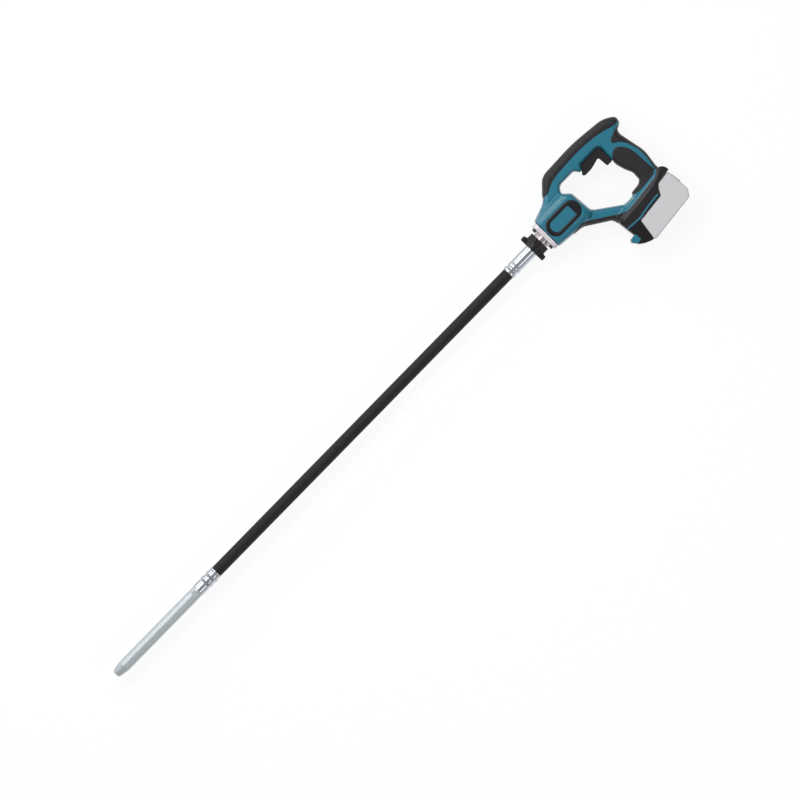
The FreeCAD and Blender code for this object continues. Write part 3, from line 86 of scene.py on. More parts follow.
# ------ plan outlines, x, y, radius
FRAME_OUTLINE = [
    (1, 36, 0), (38, 48.5, 30), (76, 87, 32), (165, 90, 400), (243, 81.5, 60), (264.5, 67, 12),
    (263.5, 53, 5.5), (248, 46.5, 8), (245.5, 36, 14), (256.5, -22, 60), (251, -58, 20),
    (251, -84, 6), (200, -96, 60), (122, -105, 6), (113, -74, 12), (62, -40.5, 30), (1, -34.5, 0)]
WINDOW_OUTLINE = [
    (78.5, 36.5, 6), (88, 49.5, 14), (127.5, 49.5, 6), (135, 39, 3.2), (141, 39, 3.2),
    (147.5, 49.5, 6), (199, 49.5, 8), (198, -2, 30), (203, -20, 30), (210, -36, 12),
    (209, -56, 8), (200, -61.5, 10), (180, -63.5, 6), (173, -69, 6), (152, -69, 10),
    (98, -30, 16), (95, 8, 60), (94, 22, 8)]
TOP_GRIP_BORDER = [(47, 54), (60, 54.4), (70, 59.4), (80, 63.4), (90, 66), (110, 68.2),
                   (140, 69.6), (165, 70), (190, 68.4), (212, 65.4), (230, 61), (243, 57.2),
                   (254, 56), (263.8, 57.2)]
SPINE_BORDER = [(258, 51.8), (251, 50.6), (240, 48.2), (228, 44.6), (221, 39), (222.4, 33.4),
                (231, 28.6), (241, 15.4), (247, 0), (250, -15), (250, -35), (246.5, -52),
                (244, -75)]
FINGER_BORDER = [(201, 7), (203.5, 14), (208, 21), (216, 24.8), (224, 23), (232, 16),
                 (238.5, 5), (242, -9), (243, -25), (243.6, -45), (244, -60), (236, -68),
                 (216, -71), (196, -72.3), (186, -71.5), (178, -69.5)]
LOWER_BORDER = [(38, -36.4), (56, -34.6), (66, -34.4), (80, -41), (93, -49.8), (107, -59),
                (120, -67.4), (133, -76), (146, -82), (160, -90)]
# Places round the outline, each with its partner on the edge of the window.
PARTNERS = [((1, 36), (80, 37.5)), ((38, 49), (84, 43)), ((76, 86), (91, 49.5)),
            ((130, 90), (127, 49.5)), ((146, 90), (147.5, 49.5)), ((230, 83), (197, 49.5)),
            ((247, 44), (199, 36)), ((254, 0), (198.5, 0)), ((255, -30), (207, -30)),
            ((251.5, -60), (209.5, -56)), ((251, -84), (203, -61)), ((200, -96), (185, -63.5)),
            ((126, -105), (165, -69)), ((113, -75), (140, -61)), ((62, -41), (100, -31)),
            ((1, -34.5), (95, -4))]

# ------ outlines of the foot, in its tilted frame
CORE_OUTLINE = [(-76.2, 16, 4), (58, 16.4, 2), (61, 13.2, 1), (29, 13.2, 3), (22, 8, 6),
                (12, -6, 4), (-51, -6, 1), (-54.5, -20, 2), (-76.2, -20, 4)]
STRIPE_OUTLINE = [(-79.4, 5.4, 0.8), (-62, 1.8, 20), (-46, -0.6, 20), (-18, 1.4, 30),
                  (8, 1.6, 2), (14.5, -0.6, 1), (12, -2.4, 1), (-18, -2.2, 30),
                  (-47, -4.2, 20), (-62, -1.8, 20), (-79.4, 2.4, 0.8)]
BAND_OUTLINE = [(-80.7, 25.5, 5), (-66, 26.5, 6), (-48, 26.2, 10), (-30, 24.4, 12), (0, 24.8, 60),
                (36, 25.6, 8), (48, 32, 5), (56.5, 32, 4), (61.8, 27, 5), (64.6, 20, 3),
                (64.4, 13.0, 2), (29.6, 12.8, 3), (22.4, 6.6, 6), (13.2, -5.9, 3),
                (-50.5, -5.9, 1), (-52, -9, 2), (-63, -51, 3), (-79, -42, 20), (-90, -32, 3),
                (-85.7, -24, 2), (-80.7, -14, 2)]
HOOK_OUTLINE = [(-77.5, -14.4, 2), (-92.7, -14.4, 4), (-96.7, -20, 4), (-89.2, -31.8, 4),
                (-77.5, -31, 3)]
# painted shade: the skirt below this line is coloured darker for the shade it lies in
SKIRT_TOP = -0.9          # under the stripe, where the band ends and the darker skirt begins

# ------ badge and screws, in plan
BADGE_OUTLINE = [(4, -22, 19), (88, -22, 19), (88, 19, 19), (4, 19, 19)]
PLATE_OUTLINE = [(13, -14, 12), (70, -14, 4), (70, 11, 4), (13, 11, 12)]
# Case screws in the underside of the housing.
SCREW_PLACES = [(60, 47), (112, 60), (233, 53), (90, -41.5), (130, -66), (84, 24), (84, -27)]

# ------ ferrules: front, rear, radius and crimps of each tube, then (x, radius) lines
UPPER_TUBE = (-109, -40.6, 13.95,
              [(-105, 0.5, 2.4), (-98.5, -1.3, 2.8), (-92, 0.5, 2.6), (-86, -0.9, 2.0)])
UPPER_COLLAR = [(-40.6, 17), (-35.9, 17)]
UPPER_BORE = [(-35.9, 9), (-79, 9), (-79, 12.25), (-109, 12.25)]
LOWER_TUBE = (-996, -944, 13.4, [(-971, 1.1, 2.6), (-964, -0.9, 2.6), (-957, 1.1, 2.6),
                                 (-950, -0.7, 2.6), (-978, -0.7, 1.8)])
LOWER_BORE = [(-944, 12.25), (-973.9, 12.25), (-973.9, 9.1), (-996, 9.1)]

# ------ hose, from ferrule to ferrule
HOSE_ROUTE = [(-92, 0, 0), (-180, 0, 0), (-350, 0, 0), (-526, 0, 0), (-700, 0, 0),
              (-870, 0, 0), (-961, 0, 0)]


# ============ plan geometry
def full_turn(count):
    """Evenly spaced angles of one turn."""
    return np.linspace(0, 2 * math.pi, count, endpoint=False)


def norms(vectors):
    """Length of each vector."""
    return np.linalg.norm(vectors, axis=-1)


def unit(vectors):
    """The same directions, one long."""
    return vectors / norms(vectors)[:, None]


def tangents(line):
    """Direction of a closed line at each of its points."""
    return unit(np.roll(line, -1, 0) - np.roll(line, 1, 0))


def rounded(corners, count):
    """Closed outline with a tangent arc at each (x, y, radius), at evenly spaced points."""
    data = np.array(corners, float)
    here, radius = data[:, :2], data[:, 2]
    before, after = unit(np.roll(here, 1, 0) - here), unit(np.roll(here, -1, 0) - here)
    half = np.arccos(np.clip((before * after).sum(1), -1, 1)) / 2
    radius = np.where(half > math.radians(89.8), 0, radius)
    reach = (radius / np.tan(half))[:, None]
    middle = before + after
    middle /= np.maximum(norms(middle), 1e-9)[:, None]
    centre = here + middle * (radius / np.sin(half))[:, None]
    start, end = here + before * reach, here + after * reach
    a, b = start - centre, end - centre
    turn = np.arctan2(a[:, 0] * b[:, 1] - a[:, 1] * b[:, 0], (a * b).sum(1))
    angle = turn[:, None] * np.linspace(0, 1, 12)[None, :]
    cos, sin = np.cos(angle), np.sin(angle)
    arc = np.stack([centre[:, :1] + a[:, :1] * cos - a[:, 1:] * sin,
                    centre[:, 1:] + a[:, :1] * sin + a[:, 1:] * cos], -1)
    line = arc.reshape(-1, 2)
    return resampled(np.vstack([line, line[:1]]), count, closed=True)


def resampled(line, count, closed=False):
    """The same line at evenly spaced points."""
    line = line[np.concatenate([[True], norms(np.diff(line, axis=0)) > 1e-7])]
    along = np.concatenate([[0], np.cumsum(norms(np.diff(line, axis=0)))])
    want = np.linspace(0, along[-1], count, endpoint=not closed)
    return np.stack([np.interp(want, along, line[:, k]) for k in range(line.shape[1])], -1)


def flowing(points, count):
    """Smooth line through a few points: cubic between each pair, resampled evenly."""
    p = np.array(points, float)
    p = np.vstack([2 * p[0] - p[1], p, 2 * p[-1] - p[-2]])
    t = np.linspace(0, 1, 14, endpoint=False)[None, :, None]
    a, b, c, d = p[:-3, None], p[1:-2, None], p[2:-1, None], p[3:, None]
    curve = 0.5 * (2 * b + (c - a) * t + (2 * a - 5 * b + 4 * c - d) * t ** 2
                   + (3 * b - a - 3 * c + d) * t ** 3)
    return resampled(np.vstack([curve.reshape(-1, 2), p[-2]]), count)


def length(line):
    """Length of a line along its runs."""
    return norms(np.diff(line, axis=0)).sum()


def between(curve, first, last):
    """The short way round a closed curve from its point nearest first to that nearest last."""
    rolled = np.roll(curve, -int(np.argmin(norms(curve - first))), 0)
    j = int(np.argmin(norms(rolled - last)))
    onwards = rolled[:j + 1]
    backwards = np.vstack([rolled[:1], rolled[:j - 1:-1]])
    return onwards if length(onwards) < length(backwards) else backwards


def distance(points, line):
    """Shortest distance from each point to the runs of a line, in blocks of points."""
    a, b = line[:-1], line[1:]
    run = b - a
    square = np.maximum((run ** 2).sum(1), 1e-12)
    result = np.empty(len(points))
    for k in range(0, len(points), 6000):
        off = points[k:k + 6000, None] - a[None]
        t = np.clip((off * run).sum(2) / square, 0, 1)[..., None]
        result[k:k + 6000] = np.sqrt(((off - t * run) ** 2).sum(2).min(1))
    return result


def smooth_max(a, b, k):
    """The larger of two heights, with a fillet of about k where they are alike."""
    h = np.clip(0.5 + 0.5 * (a - b) / k, 0, 1)
    return b + (a - b) * h + k * h * (1 - h)


def smooth_min(a, b, k):
    """The smaller of two heights, rounded off by about k where they are alike."""
    return -smooth_max(-a, -b, k)


def crown(q, power=2.4):
    """Superellipse quarter: 0 at the edge, upright there, and 1 from q = 1 inwards."""
    return (1 - (1 - np.clip(q, 0, 1)) ** power) ** (1 / power)


def ease(q):
    """Smooth step from 0 to 1, level at both ends."""
    q = np.clip(q, 0, 1)
    return q * q * (3 - 2 * q)


def tilt(points):
    """From the frame of the foot to the frame of the shaft."""
    c, s = math.cos(FOOT_TILT), math.sin(FOOT_TILT)
    out = np.array(points, float)
    x, y = out[..., 0].copy(), out[..., 1].copy()
    out[..., 0] = FOOT_AT[0] + x * c - y * s
    out[..., 1] = FOOT_AT[1] + x * s + y * c
    return out


# ============ mesh making
def quads(rows, columns, ring=False):
    """Corner numbers of the faces between closed rows; in a ring the last row meets the first."""
    i = np.arange(rows if ring else rows - 1)[:, None]
    j = np.arange(columns)[None, :]
    i2, j2 = (i + 1) % rows, (j + 1) % columns
    corners = [i * columns + j, i2 * columns + j, i2 * columns + j2, i * columns + j2]
    return np.stack([np.broadcast_to(c, (i.size, j.size)) for c in corners], -1).reshape(-1, 4)


def raised(plan, height):
    """Plan points with their heights."""
    height = np.broadcast_to(height, plan.shape[:-1])
    return np.concatenate([plan, height[..., None]], -1)


def with_ends(grid):
    """Faces of a tube of closed rows, with a flat face on its first and its last row."""
    rows, columns = grid.shape[:2]
    first = np.arange(columns)[None, ::-1]
    return [quads(rows, columns), first, first[:, ::-1] + (rows - 1) * columns]


def piece(name, parts, material, sharp=35.0):
    """Object of parts in millimetres, each a grid of points with blocks of faces."""
    faces, start = [], 0
    for points, blocks in parts:
        for block in blocks:
            faces += (block + start).tolist()
        start += points.size // 3
    points = np.vstack([points.reshape(-1, 3) for points, blocks in parts])
    mesh = bpy.data.meshes.new(name)
    mesh.from_pydata((AXIS + points / 1000).tolist(), [], faces)
    tidy(mesh)
    mesh.shade_smooth()
    mesh.set_sharp_from_angle(angle=math.radians(sharp))
    mesh.materials.append(material)
    made = bpy.data.objects.new(name, mesh)
    bpy.context.scene.collection.objects.link(made)
    return made


def tidy(mesh):
    """Merge doubled points, drop faces without area and turn every face outwards."""
    work = bmesh.new()
    work.from_mesh(mesh)
    bmesh.ops.remove_doubles(work, verts=work.verts, dist=2e-6)
    bmesh.ops.dissolve_degenerate(work, edges=work.edges, dist=1e-7)
    bmesh.ops.recalc_face_normals(work, faces=work.faces)
    work.to_mesh(mesh)
    work.free()


def slab(outline, half, radius, slope=(0.0, 0.0), share=0.0, steps=9):
    """Plate with rounded edges: wall, quarter round inwards, then a flat top and underside.

    Where share rises to 1 the quarter round turns into a slope of the given width and height,
    hollow at its foot. Insets that would cross at a tight corner are drawn together.
    """
    count = len(outline)
    tangent = tangents(outline)
    x, y = outline[:, 0], outline[:, 1]
    area = 0.5 * np.sum(x * np.roll(y, -1) - np.roll(x, -1) * y)
    inward = np.stack([-tangent[:, 1], tangent[:, 0]], -1) * (1 if area > 0 else -1)
    share = np.broadcast_to(share, count)[None]
    k = np.linspace(0, 1, steps)[:, None]
    turn = k * math.pi / 2
    inset = radius * (1 - np.cos(turn)) * (1 - share) + slope[0] * k * share
    drop = radius * (1 - np.sin(turn)) * (1 - share) + slope[1] * (1 - k ** 1.5) * share
    inset = np.vstack([inset, inset[-1:] + 0.8])
    drop = np.vstack([drop, drop[-1:]])
    plan = outline[None] + inward[None] * inset[..., None]
    number = np.arange(count)
    fence = np.vstack([outline, outline[:1]])
    for row in range(len(plan)):
        close = distance(plan[row], fence) < 0.99 * inset[row] - 0.01
        clear = ~(close | np.roll(close, 1) | np.roll(close, -1))
        for axis in (0, 1):
            plan[row, :, axis] = np.interp(number, number[clear], plan[row, clear, axis],
                                           period=count)
    upper = raised(plan, half - drop)
    lower = upper[::-1] * (1, 1, -1)
    grid = np.concatenate([lower, upper])
    return grid, with_ends(grid)


def turned(profile, sides=72):
    """Body of revolution about the shaft axis: a closed (x, radius) profile carried round."""
    profile = np.array(profile, float)
    angle = full_turn(sides)
    x = np.broadcast_to(profile[:, :1], (len(profile), sides))
    grid = np.stack([x, profile[:, 1:] * np.cos(angle), profile[:, 1:] * np.sin(angle)], -1)
    return grid, [quads(*grid.shape[:2], ring=True)]


def crimped(front, rear, radius, ridges, steps=150):
    """Outer line of a ferrule, front to rear: a plain tube with bell-shaped ridges and troughs.

    Each ridge is (place, height, width) and adds height * exp(-((x - place) / width) ** 2);
    both ends are rounded off over the last millimetre.
    """
    x = np.linspace(front, rear, steps)
    place, height, width = np.array(ridges, float).T
    r = radius + (height * np.exp(-((x[:, None] - place) / width) ** 2)).sum(1)
    ends = np.minimum(x - front, rear - x)
    return np.stack([x, r - 0.6 * (1 - crown(ends))], -1)


def tube_piece(name, outer, bore, look):
    """Hollow body of revolution from its outer line and a bore of (x, radius) points."""
    made = piece(name, [turned(np.vstack([outer, bore]))], MATERIALS[look], sharp=50)
    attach(made, TOOL)
    return made


# ============ loop handle
def handle_curves():
    """The outside of the handle and the edge of its window, in plan."""
    return rounded(FRAME_OUTLINE, 720), rounded(WINDOW_OUTLINE, 720)


def barrel_depth(x, y):
    """How far a point lies inside the barrel in plan; its rear end is rounded."""
    middle_x, middle_y, half_x, half_y, corner = 35.5, -1.0, 60.0, 35.0, 17.0
    qx = np.abs(x - middle_x) - (half_x - corner)
    qx = np.where(x < middle_x, -1e3, qx)
    qy = np.abs(y - middle_y) - (half_y - corner)
    outside = np.hypot(np.maximum(qx, 0), np.maximum(qy, 0)) + np.minimum(np.maximum(qx, qy), 0)
    return corner - outside


def handle_height(points, settings):
    """Half depth of the handle at plan points.

    The arms are level, the barrel rises from them over a sloped shoulder with a fillet at
    its foot, the arms flare towards the foot, and every edge falls off as a superellipse.
    """
    x, y = points[:, 0], points[:, 1]
    inside = barrel_depth(x, y)
    arm = settings.arm_depth + FLARE * ease(1 - foot_distance(points) / 13)
    rise = SHOULDER_FOOT + smooth_min(0.7 * inside, 1.7 * inside, 1.2)
    shoulder = smooth_min(np.full_like(x, settings.barrel_depth), rise, 1.2)
    height = smooth_max(arm, shoulder, 3.5)
    outer, window = handle_curves()
    skin = outer[outer[:, 0] > 1.3]      # all but the flat front against the flange
    gap = int(np.argmax(norms(np.diff(np.vstack([skin, skin[:1]]), axis=0))))
    skin = np.roll(skin, -gap - 1, 0)
    barrel_share = ease((inside + 16) / 16)
    rim = ARM_RIM + (BARREL_RIM - ARM_RIM) * barrel_share
    height = height * crown(distance(points, skin) / rim)
    rim = WINDOW_RIM + (BARREL_WINDOW_RIM - WINDOW_RIM) * barrel_share
    height = height * crown(distance(points, np.vstack([window, window[:1]])) / rim)
    return height * crown((x - 0.9) / 2.0)


def foot_distance(points):
    """Distance from a plan point to the top of the foot block, zero inside it."""
    c, s = math.cos(FOOT_TILT), math.sin(FOOT_TILT)
    off = points - FOOT_AT
    along, up = off[:, 0] * c + off[:, 1] * s, off[:, 1] * c - off[:, 0] * s
    middle, half_length, top = FOOT_BLOCK
    beside = np.maximum(np.abs(along - middle) - half_length, 0)
    return np.hypot(beside, np.maximum(up - top, 0))


def loop_grid(settings, pitch=1.25, steps=54):
    """Surface of the loop: s runs round it, t across from the outside to the window and back.

    Each run between two partner places takes the same share of both outlines. The plan
    point slides from outline to window with cosine spacing, and the height comes from
    handle_height, upwards on the way in and downwards on the way back.
    """
    outer, window = handle_curves()
    outsides, insides = [], []
    for (start, start_in), (end, end_in) in zip(PARTNERS, PARTNERS[1:] + PARTNERS[:1]):
        far, near = between(outer, start, end), between(window, start_in, end_in)
        count = int(max(length(far), length(near)) / pitch) + 2
        outsides.append(resampled(far, count)[:-1])
        insides.append(resampled(near, count)[:-1])
    outside, inside = np.vstack(outsides), np.vstack(insides)
    t = (1 - np.cos(np.linspace(0, math.pi, steps + 1))) / 2
    plan = outside[:, None] * (1 - t)[None, :, None] + inside[:, None] * t[None, :, None]
    height = handle_height(plan.reshape(-1, 2), settings).reshape(plan.shape[:2])
    height[:, 0] = 0
    height[:, -1] = 0
    grid = np.concatenate([raised(plan, height), raised(plan, -height)[:, -2:0:-1]], 1)
    return grid, [quads(*grid.shape[:2], ring=True)]


def normals(grid):
    """Unit normals of an open grid from the cross product of its two directions."""
    n = np.cross(np.gradient(grid, axis=0), np.gradient(grid, axis=1))
    return n / np.maximum(norms(n), 1e-9)[..., None]


def skin_strip(outside, border, settings, proud, steps=48):
    """Rubber skin wrapped over an edge of the handle.

    Each section runs from the border on one side, over the edge, to the border on the other;
    the plan point follows a sine so that points gather at the edge. The skin stands proud
    of the plastic, rolls under it at its borders and closes with an inner face.
    """
    sunk, thick, roll, end_rows = 0.7, 1.6, 3.0, 5.0
    turn = np.linspace(0, math.pi, steps + 1)
    share = np.sin(turn)[None, :, None]
    plan = border[:, None] + (outside - border)[:, None] * share
    height = handle_height(plan.reshape(-1, 2), settings).reshape(plan.shape[:2])
    height[:, steps // 2] = 0
    side = np.sign(np.cos(turn))
    base = raised(plan, height * side)
    out = normals(base)
    if out[:, :steps // 3, 2].mean() < 0:
        out = -out
    across = np.minimum(turn, math.pi - turn) / math.pi * 2
    width = norms(outside - border)[:, None]
    rise = np.sqrt(np.clip(across[None] * np.maximum(width, 6) / roll, 0, 1))
    ends = np.clip(np.minimum(np.arange(len(plan)), np.arange(len(plan))[::-1]) / end_rows, 0, 1)
    lift = (proud + sunk) * rise * np.sqrt(ends)[:, None] - sunk
    top = base + out * lift[..., None]
    inner = (base - out * thick)[:, ::-1]
    grid = np.concatenate([top, inner], 1)
    return grid, with_ends(grid)


def bead(front, rear, radius, settings, steps=120):
    """Raised ring round an arm: a small circle carried over a straight plan line and back.

    The path rises from the front edge over one side of the arm to the rear edge, and
    returns on the other side; the circle stands square to the path.
    """
    front, rear = np.array(front, float), np.array(rear, float)
    turn = full_turn(steps)
    plan = front + (rear - front) * ((1 - np.cos(turn)) / 2)[:, None]
    height = handle_height(plan, settings) * np.sign(np.sin(turn) + 1e-9)
    path = raised(plan, height)
    along = tangents(path)
    run = (rear - front) / np.linalg.norm(rear - front)
    across = np.broadcast_to([-run[1], run[0], 0.0], path.shape)
    out = np.cross(along, across)
    angle = full_turn(14)[None, :, None]
    grid = path[:, None] + radius * (np.cos(angle) * across[:, None] + np.sin(angle) * out[:, None])
    return grid, [quads(*grid.shape[:2], ring=True)]


def foot_slab(corners, half, radius, count=260):
    """Rounded plate drawn in the frame of the foot."""
    grid, faces = slab(rounded(corners, count), half, radius)
    return tilt(grid), faces


def band_slab():
    """The band: its upper edge is a long slope that rises to a ridge, the others are round.

    The slope fades out where the edge turns downwards, and over the last 8 mm at both ends.
    """
    outline = rounded(BAND_OUTLINE, 420)
    facing_up = np.abs(tangents(outline)[:, 0])
    share = ease((facing_up - 0.5) / 0.35) * ease((outline[:, 1] - 19) / 4)
    share = share * ease((outline[:, 0] + 78) / 8) * ease((58 - outline[:, 0]) / 8)
    share = np.convolve(np.concatenate([share[-4:], share, share[:4]]), np.ones(9) / 9, "valid")
    grid, faces = slab(outline, BAND_HALF, 2.4, BAND_SLOPE, share)
    return tilt(grid), faces


def domed_ring(outer, inner, low, high, side):
    """Raised ring between two outlines: an arch carried round, with upright sides."""
    inner = np.roll(inner, -int(np.argmin(norms(inner - outer[0]))), 0)
    turn = np.linspace(0, math.pi, 13)
    share = (1 - np.cos(turn)) / 2
    arch = low + (high - low) * np.sin(turn) ** 0.6
    plan = outer[None] * (1 - share)[:, None, None] + inner[None] * share[:, None, None]
    grid = np.concatenate([raised(plan, arch[:, None]), raised(plan[::-1], low - 1.0)], 0)
    grid[..., 2] *= side
    return grid, [quads(*grid.shape[:2], ring=True)]


def screw_head(x, y, settings):
    """Domed head with a cross recess: rings of growing radius, turned through every angle.

    The height is a paraboloid, less the recess where a point lies near either arm of the
    cross, and the last ring is the skirt that stands in the housing.
    """
    rim, dome, stem = 3.2, 0.7, 2.0                 # radius and height of the head, its skirt
    half_arm, reach, deep = 0.75, 2.3, 0.9          # the arms of the recess
    radius = np.concatenate([np.linspace(0.05, 3.0, 16), [rim, rim]])[:, None]
    angle = full_turn(64)[None]
    east, north = radius * np.cos(angle), radius * np.sin(angle)
    across = np.minimum(np.abs(east), np.abs(north))
    recess = deep * ease((half_arm - across) / 0.3) * ease((reach - radius) / 0.3)
    level = dome * (1 - (radius / rim) ** 2) - recess
    level[-1] = -stem
    base = handle_height(np.array([[x, y]], float), settings)[0]
    grid = np.stack([x + east, y + north, -(base + level)], -1)
    return grid, with_ends(grid)


# ============ materials
def new_group(name, inputs, outputs):
    """Node group with (label, start value) inputs and labels of plain number outputs."""
    group = bpy.data.node_groups.new(name, "ShaderNodeTree")
    for label, value in inputs:
        kind = "NodeSocketFloat" if isinstance(value, float) else "NodeSocketColor"
        socket = group.interface.new_socket(label, in_out="INPUT", socket_type=kind)
        socket.default_value = value
    for label in outputs:
        kind = "NodeSocketColor" if label == "Colour" else "NodeSocketFloat"
        group.interface.new_socket(label, in_out="OUTPUT", socket_type=kind)
    start, end = group.nodes.new("NodeGroupInput"), group.nodes.new("NodeGroupOutput")
    place = group.nodes.new("ShaderNodeTexCoord").outputs["Object"]
    return group, start.outputs, end.inputs, place


def node(tree, kind, values=(), links=(), **settings):
    """Node with settings, socket values and links from other nodes' sockets."""
    made = tree.nodes.new(kind)
    for key, value in settings.items():
        setattr(made, key, value)
    for key, value in dict(values).items():
        made.inputs[key].default_value = value
    for key, source in dict(links).items():
        tree.links.new(source, made.inputs[key])
    return made


def maths(tree, operation, first, second, use_clamp=False):
    """Result of one step of arithmetic on two sockets or numbers."""
    made = node(tree, "ShaderNodeMath", operation=operation, use_clamp=use_clamp)
    for socket, value in zip(made.inputs, (first, second)):
        if isinstance(value, float):
            socket.default_value = value
        else:
            tree.links.new(value, socket)
    return made.outputs[0]


def noise(tree, place, scale, **values):
    """Noise at a place, with its scale from a socket."""
    made = node(tree, "ShaderNodeTexNoise", values, {"Vector": place, "Scale": scale})
    return made.outputs["Fac"]


def ramp(tree, value, low, high):
    """0 below the low value, 1 above the high one."""
    return node(tree, "ShaderNodeMapRange", {"From Min": low, "From Max": high},
                {"Value": value}).outputs[0]


def tone_group():
    """Colour that wanders a little from place to place."""
    group, start, end, place = new_group(
        "tone", [("Colour", (0.5, 0.5, 0.5, 1)), ("Spread", 0.1), ("Scale", 40.0)], ["Colour"])
    shift = maths(group, "SUBTRACT", noise(group, place, start["Scale"], Detail=3.0), 0.5)
    factor = maths(group, "ADD", maths(group, "MULTIPLY", shift, start["Spread"]), 1.0)
    tint = node(group, "ShaderNodeVectorMath", {}, {0: start["Colour"]}, operation="SCALE")
    group.links.new(factor, tint.inputs["Scale"])
    group.links.new(tint.outputs[0], end["Colour"])
    return group


def smudge_group():
    """Roughness with cloudy smudges from handling."""
    group, start, end, place = new_group(
        "smudges", [("Roughness", 0.4), ("Spread", 0.1), ("Scale", 60.0)], ["Roughness"])
    cloud = noise(group, place, start["Scale"], Detail=5.0, Roughness=0.65)
    amount = maths(group, "MULTIPLY", maths(group, "SUBTRACT", cloud, 0.5), start["Spread"])
    total = maths(group, "ADD", amount, start["Roughness"], use_clamp=True)
    group.links.new(total, end["Roughness"])
    return group


def grain_group():
    """Fine spark-eroded grain of a moulded surface."""
    group, start, end, place = new_group("grain", [("Scale", 1200.0)], ["Height"])
    fine = noise(group, place, start["Scale"], Detail=2.0, Roughness=0.6)
    group.links.new(fine, end["Height"])
    return group


def pebble_group():
    """Pebbled grip: rounded bumps, and a painted highlight: a lighter colour on their tops, in
    patches.
    """
    group, start, end, place = new_group(
        "pebbles", [("Scale", 330.0), ("Speck highlights", 0.3)], ["Height", "Mask"])
    cells = node(group, "ShaderNodeTexVoronoi", {"Randomness": 0.9},
                 {"Vector": place, "Scale": start["Scale"]})
    height = maths(group, "SUBTRACT", 1.0, cells.outputs["Distance"])
    group.links.new(height, end["Height"])
    patches = noise(group, place, maths(group, "MULTIPLY", start["Scale"], 0.31), Detail=2.0)
    both = maths(group, "MULTIPLY", ramp(group, height, 0.62, 0.95),
                 ramp(group, patches, 0.5, 0.66))
    mask = maths(group, "MULTIPLY", both, start["Speck highlights"], use_clamp=True)
    group.links.new(mask, end["Mask"])
    return group


def lathe_group():
    """Turning marks: fine rings round the shaft axis."""
    group, start, end, place = new_group("lathe", [("Scale", 1.0)], ["Height"])
    rings = node(group, "ShaderNodeMapping", {"Scale": (2600.0, 14.0, 14.0)}, {"Vector": place})
    fine = noise(group, rings.outputs[0], start["Scale"], Detail=2.0)
    group.links.new(fine, end["Height"])
    return group


def weave_group():
    """Impression of wrapped cloth on hose rubber: two crossing sets of ribs, and lint."""
    group, start, end, place = new_group("weave", [("Scale", 1.0)], ["Height"])
    sized = node(group, "ShaderNodeVectorMath", {}, {0: place}, operation="SCALE")
    group.links.new(start["Scale"], sized.inputs["Scale"])
    ribs = []
    for turn in (0.62, -0.62):
        aslant = node(group, "ShaderNodeMapping", {"Rotation": (0.0, 0.0, turn)},
                      {"Vector": sized.outputs[0]})
        wave = node(group, "ShaderNodeTexWave", {"Scale": 190.0, "Distortion": 0.6, "Detail": 1.0},
                    {"Vector": aslant.outputs[0]})
        ribs.append(wave.outputs["Fac"])
    lint = node(group, "ShaderNodeTexNoise", {"Scale": 420.0, "Detail": 3.0}, {"Vector": place})
    total = maths(group, "ADD", maths(group, "MULTIPLY", *ribs), lint.outputs["Fac"])
    group.links.new(total, end["Height"])
    return group


GROUPS = {}


def shared(name):
    """Each node group is made once and used by every material that needs it."""
    makers = {"tone": tone_group, "smudges": smudge_group, "grain": grain_group,
              "pebbles": pebble_group, "lathe": lathe_group, "weave": weave_group}
    if name not in GROUPS:
        GROUPS[name] = makers[name]()
    return GROUPS[name]


def place_group(tree, name, values):
    """One use of a shared group in a material."""
    return node(tree, "ShaderNodeGroup", values, node_tree=shared(name))


def linear(*display):
    """Linear colour from the red, green and blue of a display colour, 0 to 255."""
    c = np.array(display, float) / 255
    c = np.where(c <= 0.04045, c / 12.92, ((c + 0.055) / 1.055) ** 2.4)
    return (float(c[0]), float(c[1]), float(c[2]), 1.0)


MATERIALS = {}


def finish(name, colour, rough, metal=0.0, texture="grain", scale=1200.0, depth=0.05, spread=0.08,
           tone_scale=45.0, smudge=0.08, coat=0.0, coat_rough=0.1, speck_highlights=None, speck_highlight_amount=0.3,
           specular=0.5):
    """Procedural material: wandering tone, smudged roughness and a relief, depth in mm."""
    made = bpy.data.materials.new(name)
    made.use_nodes = True
    tree = made.node_tree
    shader = tree.nodes["Principled BSDF"]
    for label, value in (("Metallic", metal), ("Coat Weight", coat),
                         ("Coat Roughness", coat_rough), ("Specular IOR Level", specular)):
        shader.inputs[label].default_value = value
    tone = place_group(tree, "tone", {"Colour": colour, "Spread": spread, "Scale": tone_scale})
    smudges = place_group(tree, "smudges", {"Roughness": rough, "Spread": smudge})
    relief = place_group(tree, texture, {"Scale": scale})
    tree.links.new(tone.outputs["Colour"], shader.inputs["Base Color"])
    # painted highlight: the specks colour the tops of the pebbles lighter
    if speck_highlights is not None:
        relief.inputs["Speck highlights"].default_value = speck_highlight_amount
        second_colour(tree, relief.outputs["Mask"], speck_highlights)
    if metal == 1.0:
        shader.distribution = "GGX"
    tree.links.new(smudges.outputs["Roughness"], shader.inputs["Roughness"])
    bump = node(tree, "ShaderNodeBump", {"Strength": 1.0, "Distance": depth / 1000},
                {"Height": relief.outputs["Height"]})
    tree.links.new(bump.outputs["Normal"], shader.inputs["Normal"])
    MATERIALS[name] = made


def second_colour(tree, mask, colour):
    """Mix another colour into a material's own, as far as the mask says."""
    base = tree.nodes["Principled BSDF"].inputs["Base Color"]
    mix = node(tree, "ShaderNodeMix", {"B": colour},
               {"Factor": mask, "A": base.links[0].from_socket}, data_type="RGBA")
    tree.links.new(mix.outputs["Result"], base)


